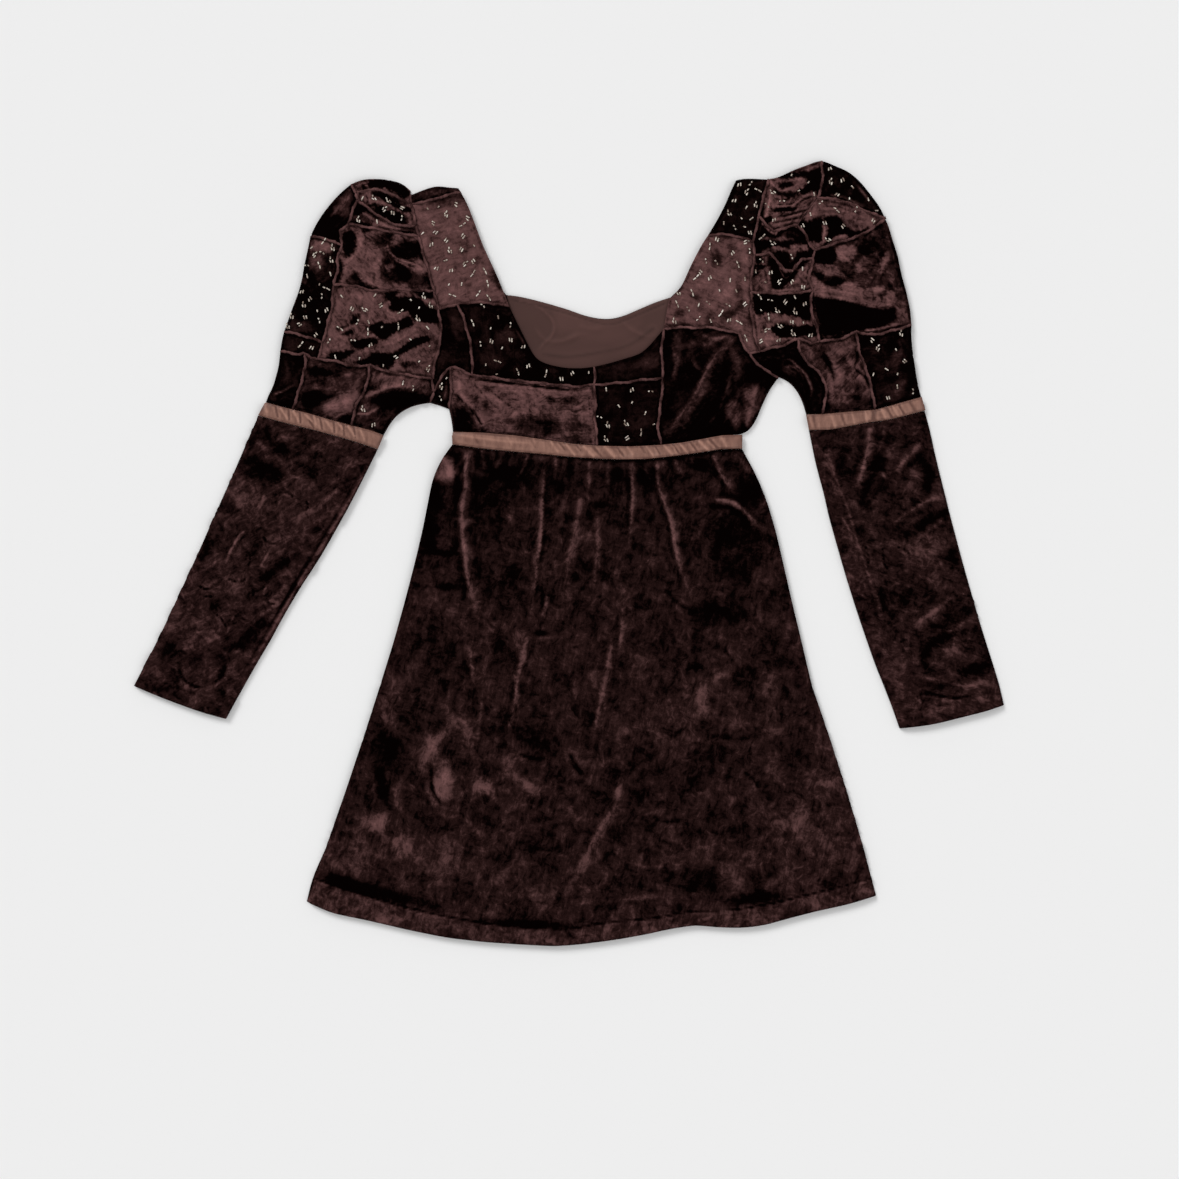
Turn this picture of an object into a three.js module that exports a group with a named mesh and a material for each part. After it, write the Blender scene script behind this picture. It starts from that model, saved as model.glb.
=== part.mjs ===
// A patchwork velvet dress with puffed Juliet sleeves, laid flat on its back.
// Millimetres. +X is the wearer's left, +Y runs from hem to shoulder, +Z is up from the surface that it lies on.
// Right and left are the wearer's. The origin is the middle of the dress's outline, on that surface.
import * as THREE from "three";

// ---------------------------------------------------------------- driving dimensions

const VELVET = 2; // pile velvet, wall thickness
const LINING = 1; // woven lining, wall thickness
const SEAM_GAP = 0.3; // between two pieces that are sewn together, or that lie on each other
const BACK_TOP = VELVET; // the back lies flat on the surface
const FRONT_UNDER = BACK_TOP + SEAM_GAP; // underside of the front where it is sewn to the back
const CLOTH_LOFT = 2.4; // how far the front lies clear of the back away from its side seams
const EDGE_ROLL = 6; // how quickly that loft is reached, measured in from a side edge
const PUFF_LOFT = 11; // extra loft in the middle of a sleeve puff
const PUFF_ROLL = 20; // how quickly the puff rises from its edges
const FOLD_ROLL = 10; // how quickly the folds do
const RIBBON = 2.8; // satin ribbon with the seams under it, which stands a little over the velvet beside it
const PATCH_STEP = 13.5; // spacing of the points of a patch
const RIM_CLEARANCE = 0.6; // share of the spacing that inner points keep from the rim
const MITRE_LIMIT = 0.35; // keeps a corner that is moved in from running far out
const BACK_STEP = 42; // spacing of the points of a flat back panel
const SKIRT_COLUMNS = 66;
const SKIRT_ROWS = [0, 0.02, 0.05, 0.085, 0.13, 0.19, 0.26, 0.34, 0.43, 0.53, 0.64, 0.76, 0.88, 1];
const SLEEVE_ROWS = 14;
const RIBBON_PARTS = 2; // columns of a ribbon, and of a sleeve below one, to each stretch of the ribbon's edge

const VELVET_ROUGHNESS = 0.85;
const SATIN_ROUGHNESS = 0.4;
const COLOURS = {
  dark: 0x150c0b,
  brown: 0x33201e,
  mauve: 0x5b4140,
  skirt: 0x2a1716,
  satin: 0x94695d,
  lining: 0x4e3a37,
};

// ---------------------------------------------------------------- the pattern's lines
// Each line is a seam or an edge, as [x, y] points. Where lines meet they share a point.

const LINES = {
  // bodice
  neckRight: [[-127, 420], [-124, 415], [-116, 400], [-108, 379], [-98, 352], [-82, 318], [-74, 298], [-68, 283]],
  neckFront: [
    [-68, 283], [-60, 266], [-51, 248], [-42, 230], [-36, 222], [-24, 217], [-5, 213], [15, 212.5],
    [29, 214.5], [45, 218], [65, 224], [82, 229], [92, 238], [102, 250], [109, 258],
  ],
  neckLeft: [
    [109, 258], [111, 271], [114.5, 291], [121, 298], [129, 306], [140, 331], [152, 354],
    [160, 366], [172, 386], [180, 402], [187, 419], [192, 429], [198, 431],
  ],
  shoulderTopRight: [[-127, 420], [-140, 421], [-152, 423], [-165, 419], [-182, 412]],
  shoulderSeamRight: [[-124, 415], [-138, 411.5], [-151, 408], [-163, 403.5], [-181, 401]],
  shoulderTopLeft: [[198, 431], [212, 431], [229, 430]],
  armholeRight: [
    [-182, 412], [-181, 401], [-178, 387], [-176, 376], [-173, 364], [-165, 336], [-158, 313], [-155, 301],
    [-150, 280], [-147, 262], [-147, 248], [-151, 230], [-155, 215], [-157, 200], [-156, 185], [-160, 173],
  ],
  armholeLeft: [
    [229, 430], [225, 413], [220, 398], [218, 386], [214, 370], [212, 357], [214, 342], [212, 333],
    [209, 322], [210, 309], [209, 300], [209, 280], [211, 265], [213, 252], [217, 238], [219, 232],
  ],
  strapBaseRight: [[-150, 280], [-138, 283], [-128, 287], [-112, 288], [-95, 288], [-80, 286], [-68, 283]],
  strapBaseLeft: [
    [109, 258], [125, 260], [140, 259], [160, 260], [182, 256], [195, 252.5], [199, 245], [203, 233], [207, 229],
  ],
  strapJoinLeft: [[160, 366], [175, 366.5], [191, 365], [202, 362], [212, 357]],
  sidePatchSeam: [[-128, 287], [-121, 271], [-115, 251], [-111, 228], [-111, 205]],
  underBust: [
    [-156, 185], [-149, 196], [-143, 208], [-137, 214], [-127, 213], [-119, 207], [-111, 205],
    [-73, 199.5], [-25, 194.5], [10, 191], [29, 193.5],
  ],
  gussetSeam: [[-137, 214], [-135, 198], [-136, 181], [-138, 166]],
  centreSeam: [[29, 214.5], [30.5, 205], [29, 193.5], [31, 177], [29.5, 159], [31, 143], [33, 124]],
  centreCross: [[29, 193.5], [47, 194.5], [67, 196.5], [88, 199.5], [108, 201]],
  princessLeft: [
    [109, 258], [107, 242], [106, 223], [109, 211], [108, 201], [106, 174], [103, 156], [102, 143], [106, 124.8],
  ],
  underarmLeft: [[207, 229], [218, 216], [230, 207], [241, 202]],
  sideRight: [[-160, 173], [-150, 172], [-138, 166], [-135, 156], [-134, 148], [-133.5, 140]],
  sideLeft: [[241, 202], [235, 195.5], [229.5, 186.5], [222.5, 171.5], [216, 154.5], [208, 141.5], [199, 136.5]],
  waistTop: [
    [-133.5, 140], [-100, 139], [-60, 135.5], [-22, 130], [7, 125.8], [33, 124], [70, 123], [106, 124.8],
    [130, 127.5], [155, 132], [176, 136], [199, 136.5],
  ],
  waistBottom: [
    [-134, 125], [-108, 121], [-79, 118], [-40, 114.5], [1, 110.5], [30, 108.5], [60, 107.5], [89, 108],
    [121, 111.5], [150, 115.5], [176, 119.5], [199, 120],
  ],
  // the back's neckline, which shows above the front's
  backNeck: [
    [-72, 297], [-60, 296], [-40, 291.5], [-20, 286], [0, 280], [20, 272.5], [37, 269], [50, 268.5],
    [62, 272.5], [80, 280.5], [100, 289], [115, 293],
  ],
  backStrapRight: [[-130, 419], [-124, 408], [-112, 378], [-95, 339], [-80, 306], [-72, 297]],
  backStrapLeft: [[115, 293], [120, 299], [133, 308], [144, 331], [164, 365], [184, 404], [195, 429]],
  liningLower: [[125, 297], [129, 262], [104, 232], [70, 204], [20, 194], [-30, 200], [-56, 222], [-84, 268]],
  // right sleeve puff
  outlineRight: [
    [-182, 412], [-182, 417], [-187, 422], [-194, 426.5], [-205, 429], [-218, 430], [-233, 430], [-243, 427.5],
    [-250, 424], [-259, 417], [-270, 406], [-281, 392.5], [-290.5, 378], [-297, 364], [-300, 349], [-304, 331],
    [-306, 318], [-309, 305], [-313, 293.5], [-318, 280.5], [-322, 269], [-327, 255], [-330, 243], [-331.5, 232],
    [-333.5, 214], [-337, 201], [-340, 191], [-344, 186], [-348.5, 174],
  ],
  capFoldRight: [
    [-250, 424], [-243, 413], [-242, 404], [-247, 393], [-252, 377], [-261, 369], [-260, 352], [-265, 337],
    [-264, 322], [-270, 306], [-270, 283], [-276, 262], [-281, 241], [-287, 222],
  ],
  capSideSeamRight: [[-297, 364], [-278, 360], [-260, 352]],
  stripSeamRight: [[-327, 255], [-304, 249], [-281, 241]],
  bandSeamRight: [
    [-331.5, 232], [-317, 229], [-308, 227], [-302, 229], [-295, 223], [-287, 222], [-267, 220], [-252, 215],
    [-238, 213], [-228, 216], [-212, 208.5], [-199, 206], [-185, 204], [-157, 200],
  ],
  wedgeSeamRight: [[-252, 377], [-228, 373], [-202, 368], [-173, 364]],
  middleSeamRight: [[-270, 306], [-261, 308], [-242, 305], [-223, 299.5], [-208, 301], [-188, 302], [-155, 301]],
  capSeamRight: [[-243, 413], [-232, 416], [-216, 416.5], [-202, 411], [-191, 405], [-181, 401]],
  gatherSeamRight: [[-242, 404], [-228, 393], [-215, 384], [-202, 377], [-190, 374], [-176, 376]],
  bandOuterRight: [[-302, 229], [-301, 215], [-305, 200], [-310, 183], [-317, 165.5]],
  bandInnerRight: [[-228, 216], [-229, 200], [-233, 186], [-243, 172], [-247, 158], [-249, 147]],
  underarmEdgeRight: [[-160, 173], [-178, 171], [-190, 165.5], [-200, 158], [-206, 149.5], [-213, 136]],
  ribbonTopRight: [
    [-348.5, 174], [-333, 169.5], [-317, 165.5], [-300, 161.5], [-275, 154], [-249, 147], [-228, 142], [-213, 136],
  ],
  ribbonFootRight: [
    [-357, 158.5], [-341, 153.5], [-316, 147], [-291, 141], [-265.5, 134], [-245.5, 128], [-230.5, 123], [-220, 119.5],
  ],
  // left sleeve puff
  outlineLeft: [
    [229, 430], [240, 431.5], [249, 436], [262, 442], [274, 446], [283, 450], [290, 451], [297, 449],
    [305, 445], [318, 440], [328, 433], [338, 423], [347, 411], [355.5, 400], [363, 385], [367, 376],
    [371, 362], [377.5, 342], [382, 320], [387.5, 300], [392, 280], [393.5, 262], [393, 250], [394.5, 234],
    [397, 218], [399, 203], [402, 189], [405, 180],
  ],
  capSeamLeft: [[290, 451], [291, 434], [289, 416], [284, 406]],
  foldSeamLeft: [[284, 406], [295, 406.5], [306, 404], [320, 401], [335, 393], [350, 388], [363, 385]],
  outerSeamLeft: [[363, 385], [350, 373], [328, 361], [306, 355], [281, 346]],
  gatherEdgeLeft: [[284, 406], [276, 396], [268, 385], [262, 375]],
  columnSeamLeft: [[262, 375], [270, 366], [275, 354], [281, 346], [280, 338], [276, 323], [274, 313], [279, 300]],
  columnFootLeft: [[279, 300], [276, 288], [278, 273], [283, 262], [287, 243]],
  gatherTopLeft: [[218, 386], [226, 376], [235, 368], [244, 371], [254, 375], [262, 375]],
  gatherMiddleLeft: [[214, 342], [229, 344], [238, 336], [247, 323], [256, 324], [267, 336], [280, 338]],
  gatherFootLeft: [[209, 300], [226, 298], [245, 297], [262, 298], [279, 300]],
  bandSeamLeft: [
    [207, 229], [219, 232], [231, 235], [247, 238], [262, 246], [278, 240], [287, 243], [308, 244],
    [321, 249], [329, 254], [340, 250], [355, 250.5], [378, 257], [393.5, 262],
  ],
  bandOuterLeft: [[329, 254], [331, 234], [337, 218], [343, 203], [345, 193], [348, 183], [351, 165]],
  bandInnerLeft: [[262, 246], [264, 231], [271, 220], [285, 209], [294, 195], [295, 180], [290, 160]],
  underarmEdgeLeft: [[241, 202], [247, 201.5], [253, 199], [259, 192.5], [266, 182], [270, 173], [272.5, 160]],
  ribbonTopLeft: [[272.5, 160], [290, 160], [320, 163], [351, 165], [368, 169.5], [387, 175], [405, 180]],
  ribbonFootLeft: [[276, 141.5], [299, 141.5], [320, 145.5], [346, 150.5], [364, 152.5], [387, 158], [409, 164]],
  // lower sleeves, from the ribbon down to the cuff
  sleeveOuterRight: [
    [-357, 158.5], [-366, 138], [-380, 105], [-391, 80], [-409, 40], [-426, 1], [-444, -38], [-461, -75],
    [-480, -114], [-493, -138], [-500, -152],
  ],
  sleeveInnerRight: [
    [-220, 119.5], [-228, 103], [-240.5, 78], [-255.5, 49], [-270.5, 22.5], [-286, -5], [-306, -35], [-326, -68],
    [-343, -100], [-361, -130], [-376, -157], [-386, -175], [-394, -190],
  ],
  sleeveInnerLeft: [
    [276, 141.5], [284, 100], [292, 74.5], [297, 48.5], [305, 20], [316, -19], [324, -45], [332, -70],
    [340.5, -95], [353.5, -132], [367.5, -165.5], [380, -201],
  ],
  sleeveOuterLeft: [
    [409, 164], [415.5, 139], [422, 108], [430, 77], [440, 36], [446.5, 12.5], [454, -16], [463, -47],
    [471, -75], [481.5, -109], [489, -132], [496, -155], [500, -174],
  ],
  cuffRight: [[-500, -152], [-480, -160.5], [-460, -168.5], [-440, -176], [-420, -183], [-394, -190]],
  cuffLeft: [[380, -201], [400, -199], [420, -196], [440, -191], [460, -186], [480, -181], [500, -174]],
  // skirt
  skirtRightEdge: [
    [-134, 125], [-143, 113], [-151, 99.5], [-156.5, 86], [-162, 58], [-170, 17], [-184, -38.5], [-199, -94],
    [-216, -149], [-233.5, -204], [-252, -259], [-270, -314.5], [-281, -342], [-294, -370], [-298, -384],
    [-301.5, -400],
  ],
  skirtLeftEdge: [
    [199, 120], [202, 113], [210, 99.5], [217, 86], [228, 58], [240, 17], [252, -38.5], [265.5, -94],
    [278, -149], [297, -204], [315, -259], [332, -314.5], [347, -370], [353, -393],
  ],
  hem: [
    [-301.5, -400], [-272, -413], [-232, -421], [-185, -432], [-141, -441], [-98, -446], [-54, -449], [-15, -451],
    [15, -448.5], [50, -444], [85, -438], [119, -430.5], [146, -426.5], [167, -429], [198, -430], [224, -427],
    [250, -419.5], [285, -410.5], [320, -403], [353, -393],
  ],
};

// ---------------------------------------------------------------- the patches
// A patch is a loop of stretches of lines: [line, from point, to point], a falling pair running backwards.

const PATCHES = [
  { node: "shoulder_right", colour: "dark",
    loop: [["neckRight", 0, 1], ["shoulderSeamRight", 0, 4], ["armholeRight", 1, 0], ["shoulderTopRight", 4, 0]] },
  { node: "strap_right", colour: "mauve",
    loop: [["neckRight", 1, 7], ["strapBaseRight", 6, 0], ["armholeRight", 8, 1], ["shoulderSeamRight", 4, 0]] },
  { node: "side_front_right", colour: "dark",
    loop: [["strapBaseRight", 0, 2], ["sidePatchSeam", 0, 4], ["underBust", 6, 0], ["armholeRight", 14, 8]] },
  { node: "bust_right", colour: "dark",
    loop: [["strapBaseRight", 2, 6], ["neckFront", 0, 8], ["centreSeam", 0, 2], ["underBust", 10, 6],
      ["sidePatchSeam", 4, 0]] },
  { node: "midriff_right", colour: "mauve",
    loop: [["underBust", 3, 10], ["centreSeam", 2, 6], ["waistTop", 5, 0], ["sideRight", 5, 2], ["gussetSeam", 3, 0]] },
  { node: "gusset_right", colour: "dark",
    loop: [["underBust", 0, 3], ["gussetSeam", 0, 3], ["sideRight", 2, 0], ["armholeRight", 15, 14]] },
  { node: "bust_centre", colour: "dark",
    loop: [["neckFront", 8, 14], ["princessLeft", 0, 4], ["centreCross", 4, 0], ["centreSeam", 2, 0]] },
  { node: "midriff_centre", colour: "dark",
    loop: [["centreCross", 0, 4], ["princessLeft", 4, 8], ["waistTop", 7, 5], ["centreSeam", 6, 2]] },
  { node: "side_front_left", colour: "brown",
    loop: [["strapBaseLeft", 0, 8], ["underarmLeft", 0, 3], ["sideLeft", 0, 6], ["waistTop", 11, 7],
      ["princessLeft", 8, 0]] },
  { node: "strap_left", colour: "mauve",
    loop: [["neckLeft", 0, 7], ["strapJoinLeft", 0, 4], ["armholeLeft", 5, 15], ["bandSeamLeft", 1, 0],
      ["strapBaseLeft", 8, 0]] },
  { node: "shoulder_left", colour: "dark",
    loop: [["neckLeft", 7, 12], ["shoulderTopLeft", 0, 2], ["armholeLeft", 0, 5], ["strapJoinLeft", 4, 0]] },

  { node: "puff_cap_side_right", colour: "dark", puff: "right",
    loop: [["capFoldRight", 0, 6], ["capSideSeamRight", 2, 0], ["outlineRight", 13, 8]] },
  { node: "puff_outer_right", colour: "dark", puff: "right",
    loop: [["capSideSeamRight", 0, 2], ["capFoldRight", 6, 12], ["stripSeamRight", 2, 0], ["outlineRight", 21, 13]] },
  { node: "puff_strip_right", colour: "dark", puff: "right",
    loop: [["stripSeamRight", 0, 2], ["capFoldRight", 12, 13], ["bandSeamRight", 5, 0], ["outlineRight", 23, 21]] },
  { node: "puff_middle_right", colour: "brown", puff: "right",
    loop: [["wedgeSeamRight", 0, 3], ["armholeRight", 4, 7], ["middleSeamRight", 6, 0], ["capFoldRight", 9, 4]] },
  { node: "puff_front_right", colour: "mauve", puff: "right",
    loop: [["middleSeamRight", 0, 6], ["armholeRight", 7, 13], ["bandSeamRight", 13, 5], ["capFoldRight", 13, 9]] },
  { node: "puff_cap_top_right", colour: "dark", puff: "right",
    loop: [["outlineRight", 0, 8], ["capFoldRight", 0, 1], ["capSeamRight", 0, 5], ["armholeRight", 1, 0]] },
  { node: "puff_gather_right", colour: "brown", puff: "right",
    loop: [["capSeamRight", 0, 5], ["armholeRight", 1, 3], ["gatherSeamRight", 5, 0], ["capFoldRight", 2, 1]] },
  { node: "puff_wedge_right", colour: "dark", puff: "right",
    loop: [["gatherSeamRight", 0, 5], ["armholeRight", 3, 4], ["wedgeSeamRight", 3, 0], ["capFoldRight", 4, 2]] },
  { node: "band_outer_right", colour: "dark", puff: "right",
    loop: [["bandSeamRight", 0, 3], ["bandOuterRight", 0, 4], ["ribbonTopRight", 2, 0], ["outlineRight", 28, 23]] },
  { node: "band_middle_right", colour: "brown", puff: "right",
    loop: [["bandSeamRight", 3, 9], ["bandInnerRight", 0, 5], ["ribbonTopRight", 5, 2], ["bandOuterRight", 4, 0]] },
  { node: "band_inner_right", colour: "brown", puff: "right",
    loop: [["bandSeamRight", 9, 13], ["armholeRight", 13, 15], ["underarmEdgeRight", 0, 5], ["ribbonTopRight", 7, 5],
      ["bandInnerRight", 5, 0]] },

  { node: "puff_cap_top_left", colour: "dark", puff: "left",
    loop: [["outlineLeft", 0, 6], ["capSeamLeft", 0, 3], ["gatherEdgeLeft", 0, 3], ["gatherTopLeft", 5, 0],
      ["armholeLeft", 3, 0]] },
  { node: "puff_cap_side_left", colour: "dark", puff: "left",
    loop: [["outlineLeft", 6, 14], ["foldSeamLeft", 6, 0], ["capSeamLeft", 3, 0]] },
  { node: "puff_fold_left", colour: "brown", puff: "left",
    loop: [["foldSeamLeft", 0, 6], ["outerSeamLeft", 0, 4], ["columnSeamLeft", 3, 0], ["gatherEdgeLeft", 3, 0]] },
  { node: "puff_outer_left", colour: "dark", puff: "left",
    loop: [["outlineLeft", 14, 21], ["bandSeamLeft", 13, 6], ["columnFootLeft", 4, 0], ["columnSeamLeft", 7, 3],
      ["outerSeamLeft", 4, 0]] },
  { node: "puff_gather_top_left", colour: "dark", puff: "left",
    loop: [["gatherTopLeft", 0, 5], ["columnSeamLeft", 0, 4], ["gatherMiddleLeft", 6, 0], ["armholeLeft", 6, 3]] },
  { node: "puff_gather_left", colour: "dark", puff: "left",
    loop: [["gatherMiddleLeft", 0, 6], ["columnSeamLeft", 4, 7], ["gatherFootLeft", 4, 0], ["armholeLeft", 10, 6]] },
  { node: "puff_front_left", colour: "dark", puff: "left",
    loop: [["gatherFootLeft", 0, 4], ["columnFootLeft", 0, 4], ["bandSeamLeft", 6, 1], ["armholeLeft", 15, 10]] },
  { node: "band_outer_left", colour: "dark", puff: "left",
    loop: [["bandSeamLeft", 9, 13], ["outlineLeft", 21, 27], ["ribbonTopLeft", 6, 3], ["bandOuterLeft", 6, 0]] },
  { node: "band_middle_left", colour: "mauve", puff: "left",
    loop: [["bandSeamLeft", 4, 9], ["bandOuterLeft", 0, 6], ["ribbonTopLeft", 3, 1], ["bandInnerLeft", 6, 0]] },
  { node: "band_inner_left", colour: "dark", puff: "left",
    loop: [["bandSeamLeft", 0, 4], ["bandInnerLeft", 0, 6], ["ribbonTopLeft", 1, 0], ["underarmEdgeLeft", 6, 0],
      ["underarmLeft", 3, 0]] },
];

// The plain panels that lie underneath, and the lining that shows above the front's neckline.
const BACKS = [
  { node: "bodice_back", colour: "skirt", under: 0, thickness: VELVET,
    loop: [["waistTop", 0, 11], ["sideLeft", 6, 0], ["underarmLeft", 3, 0], ["bandSeamLeft", 0, 1],
      ["armholeLeft", 15, 0], ["shoulderTopLeft", 2, 0], ["backStrapLeft", 6, 0], ["backNeck", 11, 0],
      ["backStrapRight", 5, 0], ["shoulderTopRight", 1, 4], ["armholeRight", 0, 15], ["sideRight", 0, 5]] },
  { node: "puff_back_right", colour: "skirt", under: 0, thickness: VELVET,
    loop: [["outlineRight", 0, 28], ["ribbonTopRight", 0, 7], ["underarmEdgeRight", 5, 0], ["armholeRight", 15, 0]] },
  { node: "puff_back_left", colour: "skirt", under: 0, thickness: VELVET,
    loop: [["outlineLeft", 0, 27], ["ribbonTopLeft", 6, 0], ["underarmEdgeLeft", 6, 0], ["underarmLeft", 3, 0],
      ["bandSeamLeft", 0, 1], ["armholeLeft", 15, 0]] },
  { node: "skirt_back", colour: "skirt", under: 0, thickness: VELVET,
    loop: [["waistBottom", 11, 0], ["skirtRightEdge", 0, 15], ["hem", 0, 19], ["skirtLeftEdge", 13, 0]] },
  { node: "lower_sleeve_back_right", colour: "skirt", under: 0, thickness: VELVET,
    loop: [["ribbonFootRight", 0, 7], ["sleeveInnerRight", 0, 12], ["cuffRight", 5, 0], ["sleeveOuterRight", 10, 0]] },
  { node: "lower_sleeve_back_left", colour: "skirt", under: 0, thickness: VELVET,
    loop: [["ribbonFootLeft", 6, 0], ["sleeveInnerLeft", 0, 11], ["cuffLeft", 0, 6], ["sleeveOuterLeft", 12, 0]] },
  { node: "back_lining", colour: "lining", under: FRONT_UNDER, thickness: LINING,
    loop: [["backNeck", 0, 11], ["liningLower", 0, 7]] },
];

// ---------------------------------------------------------------- the folds
// path: the fold's crest; width: half its breadth; height: how far it stands; start, end: share of the height there.

const PUFF_FOLDS = [
  { path: [[-284, 229], [-250, 236], [-215, 250], [-186, 263], [-158, 266]], width: 8, height: 5, start: 0.3, end: 0.7 },
  { path: [[-262, 219], [-232, 226], [-200, 240], [-172, 254], [-152, 262]], width: 6, height: 4, start: 0.2, end: 0.6 },
  { path: [[-216, 292], [-208, 276], [-190, 272], [-176, 282], [-156, 290]], width: 6, height: 4, start: 0.2, end: 0.7 },
  { path: [[-214, 212], [-196, 222], [-172, 240], [-152, 246]], width: 7, height: 3, start: 0.2, end: 0.6 },
  { path: [[-238, 414], [-214, 411], [-198, 402], [-182, 398]], width: 5, height: 4, start: 0.2, end: 0.9 },
  { path: [[-236, 404], [-214, 399], [-196, 390], [-179, 386]], width: 5, height: 4, start: 0.1, end: 0.9 },
  { path: [[-240, 398], [-216, 384], [-198, 376], [-177, 374]], width: 5, height: 4, start: 0.1, end: 0.9 },
  { path: [[-246, 366], [-240, 346], [-228, 330], [-214, 322]], width: 11, height: 3, start: 0.1, end: 0.1 },
  { path: [[-212, 350], [-196, 336], [-180, 334], [-164, 328]], width: 6, height: 3, start: 0.1, end: 0.7 },
  { path: [[-296, 180], [-262, 186], [-230, 196], [-192, 198], [-160, 190]], width: 9, height: 2.5, start: 0.1, end: 0.6 },
  { path: [[-240, 150], [-222, 164], [-200, 178], [-170, 184]], width: 6, height: 3, start: 0.3, end: 0.3 },
  { path: [[221, 378], [246, 388], [272, 398], [300, 398], [334, 390], [360, 382]], width: 8, height: 6, start: 0.6, end: 0.2 },
  { path: [[224, 396], [246, 402], [270, 411], [284, 413]], width: 5, height: 4, start: 0.9, end: 0.2 },
  { path: [[229, 412], [246, 414], [262, 424], [276, 428]], width: 5, height: 4, start: 0.9, end: 0.2 },
  { path: [[231, 424], [250, 425], [268, 433]], width: 5, height: 3, start: 0.9, end: 0.1 },
  { path: [[216, 364], [234, 358], [252, 366], [266, 370]], width: 5, height: 4, start: 0.9, end: 0.3 },
  { path: [[214, 350], [240, 352], [258, 350], [274, 348]], width: 5, height: 3.5, start: 0.9, end: 0.4 },
  { path: [[213, 330], [226, 336], [232, 322], [230, 306]], width: 5, height: 4, start: 0.9, end: 0.3 },
  { path: [[262, 330], [270, 318], [262, 306], [244, 302]], width: 6, height: 3.5, start: 0.4, end: 0.2 },
  { path: [[276, 312], [302, 304], [336, 300], [372, 298]], width: 9, height: 5, start: 0.6, end: 0.2 },
  { path: [[216, 264], [238, 271], [258, 266], [278, 256]], width: 7, height: 3.5, start: 0.8, end: 0.4 },
  { path: [[212, 244], [240, 247], [266, 250], [286, 250]], width: 6, height: 2.5, start: 0.7, end: 0.3 },
  { path: [[286, 346], [312, 344], [346, 354], [366, 364]], width: 8, height: 3, start: 0.3, end: 0.1 },
  { path: [[244, 222], [262, 213], [274, 197], [277, 174]], width: 6, height: 3, start: 0.3, end: 0.3 },
];

const BODICE_FOLDS = [
  { path: [[122, 136], [140, 166], [156, 200], [172, 236]], width: 9, height: 2.2, start: 0.3, end: 0.3 },
  { path: [[150, 136], [172, 168], [188, 204], [194, 240]], width: 8, height: 2.4, start: 0.3, end: 0.3 },
  { path: [[196, 140], [204, 160], [210, 186], [216, 208]], width: 8, height: 2, start: 0.3, end: 0.2 },
  { path: [[-124, 206], [-122, 186], [-112, 166], [-96, 146]], width: 8, height: 2.4, start: 0.3, end: 0.2 },
  { path: [[-130, 160], [-116, 152], [-102, 143]], width: 6, height: 1.8, start: 0.3, end: 0.2 },
];

const SKIRT_FOLDS = [
  { path: [[-119, 119], [-121, 60], [-119, 10], [-111, -40], [-99, -92]], width: 8, height: 5.5, start: 0.7, end: 0.1 },
  { path: [[-113, -120], [-108, -160], [-114, -210]], width: 11, height: 2.5, start: 0.1, end: 0.1 },
  { path: [[-29, 113], [-31, 60], [-34, 10], [-40, -40], [-44, -90]], width: 6, height: 4.5, start: 0.8, end: 0.2 },
  { path: [[-22, -20], [-26, -52], [-33, -84]], width: 6, height: 2.5, start: 0.1, end: 0.2 },
  { path: [[16, 108], [12, 60], [4, 20], [-4, -20]], width: 8, height: 4, start: 0.5, end: 0.1 },
  { path: [[27, 108], [33, 60], [32, 0], [27, -50]], width: 7, height: 3.5, start: 0.5, end: 0.1 },
  { path: [[72, 107], [72, 60], [69, 20], [64, -20]], width: 6, height: 4.5, start: 0.8, end: 0.1 },
  { path: [[102, 108], [108, 70], [117, 30], [127, -12], [141, -52], [144, -76]], width: 7, height: 5.5, start: 0.8, end: 0.1 },
  { path: [[166, 117], [176, 95], [189, 70]], width: 7, height: 5, start: 0.7, end: 0.1 },
  { path: [[170, 64], [194, 56], [211, 42], [226, 30]], width: 6, height: 5, start: 0.1, end: 0.3 },
  { path: [[186, 115], [200, 100], [210, 88]], width: 6, height: 3, start: 0.6, end: 0.1 },
  { path: [[-146, 113], [-142, 98], [-149, 84]], width: 8, height: 5, start: 0.6, end: 0.1 },
  { path: [[-72, -130], [-80, -190], [-92, -250]], width: 9, height: 2.5, start: 0.1, end: 0.1 },
  { path: [[-50, -120], [-56, -180], [-66, -240]], width: 8, height: 2.2, start: 0.1, end: 0.1 },
  { path: [[-142, -196], [-158, -232], [-156, -268], [-134, -288], [-112, -272]], width: 9, height: 3, start: 0.1, end: 0.2 },
  { path: [[40, -120], [34, -180], [26, -230]], width: 9, height: 2.5, start: 0.1, end: 0.1 },
  { path: [[58, -250], [48, -296], [28, -342], [4, -384]], width: 11, height: 3.5, start: 0.1, end: 0.1 },
  { path: [[-228, -250], [-236, -310], [-214, -330]], width: 14, height: 2.5, start: 0.1, end: 0.1 },
  { path: [[250, -240], [262, -290], [292, -300]], width: 12, height: 2.5, start: 0.1, end: 0.1 },
  { path: [[118, -408], [162, -404], [210, -408], [262, -398]], width: 10, height: 3, start: 0.1, end: 0.1 },
];

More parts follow.
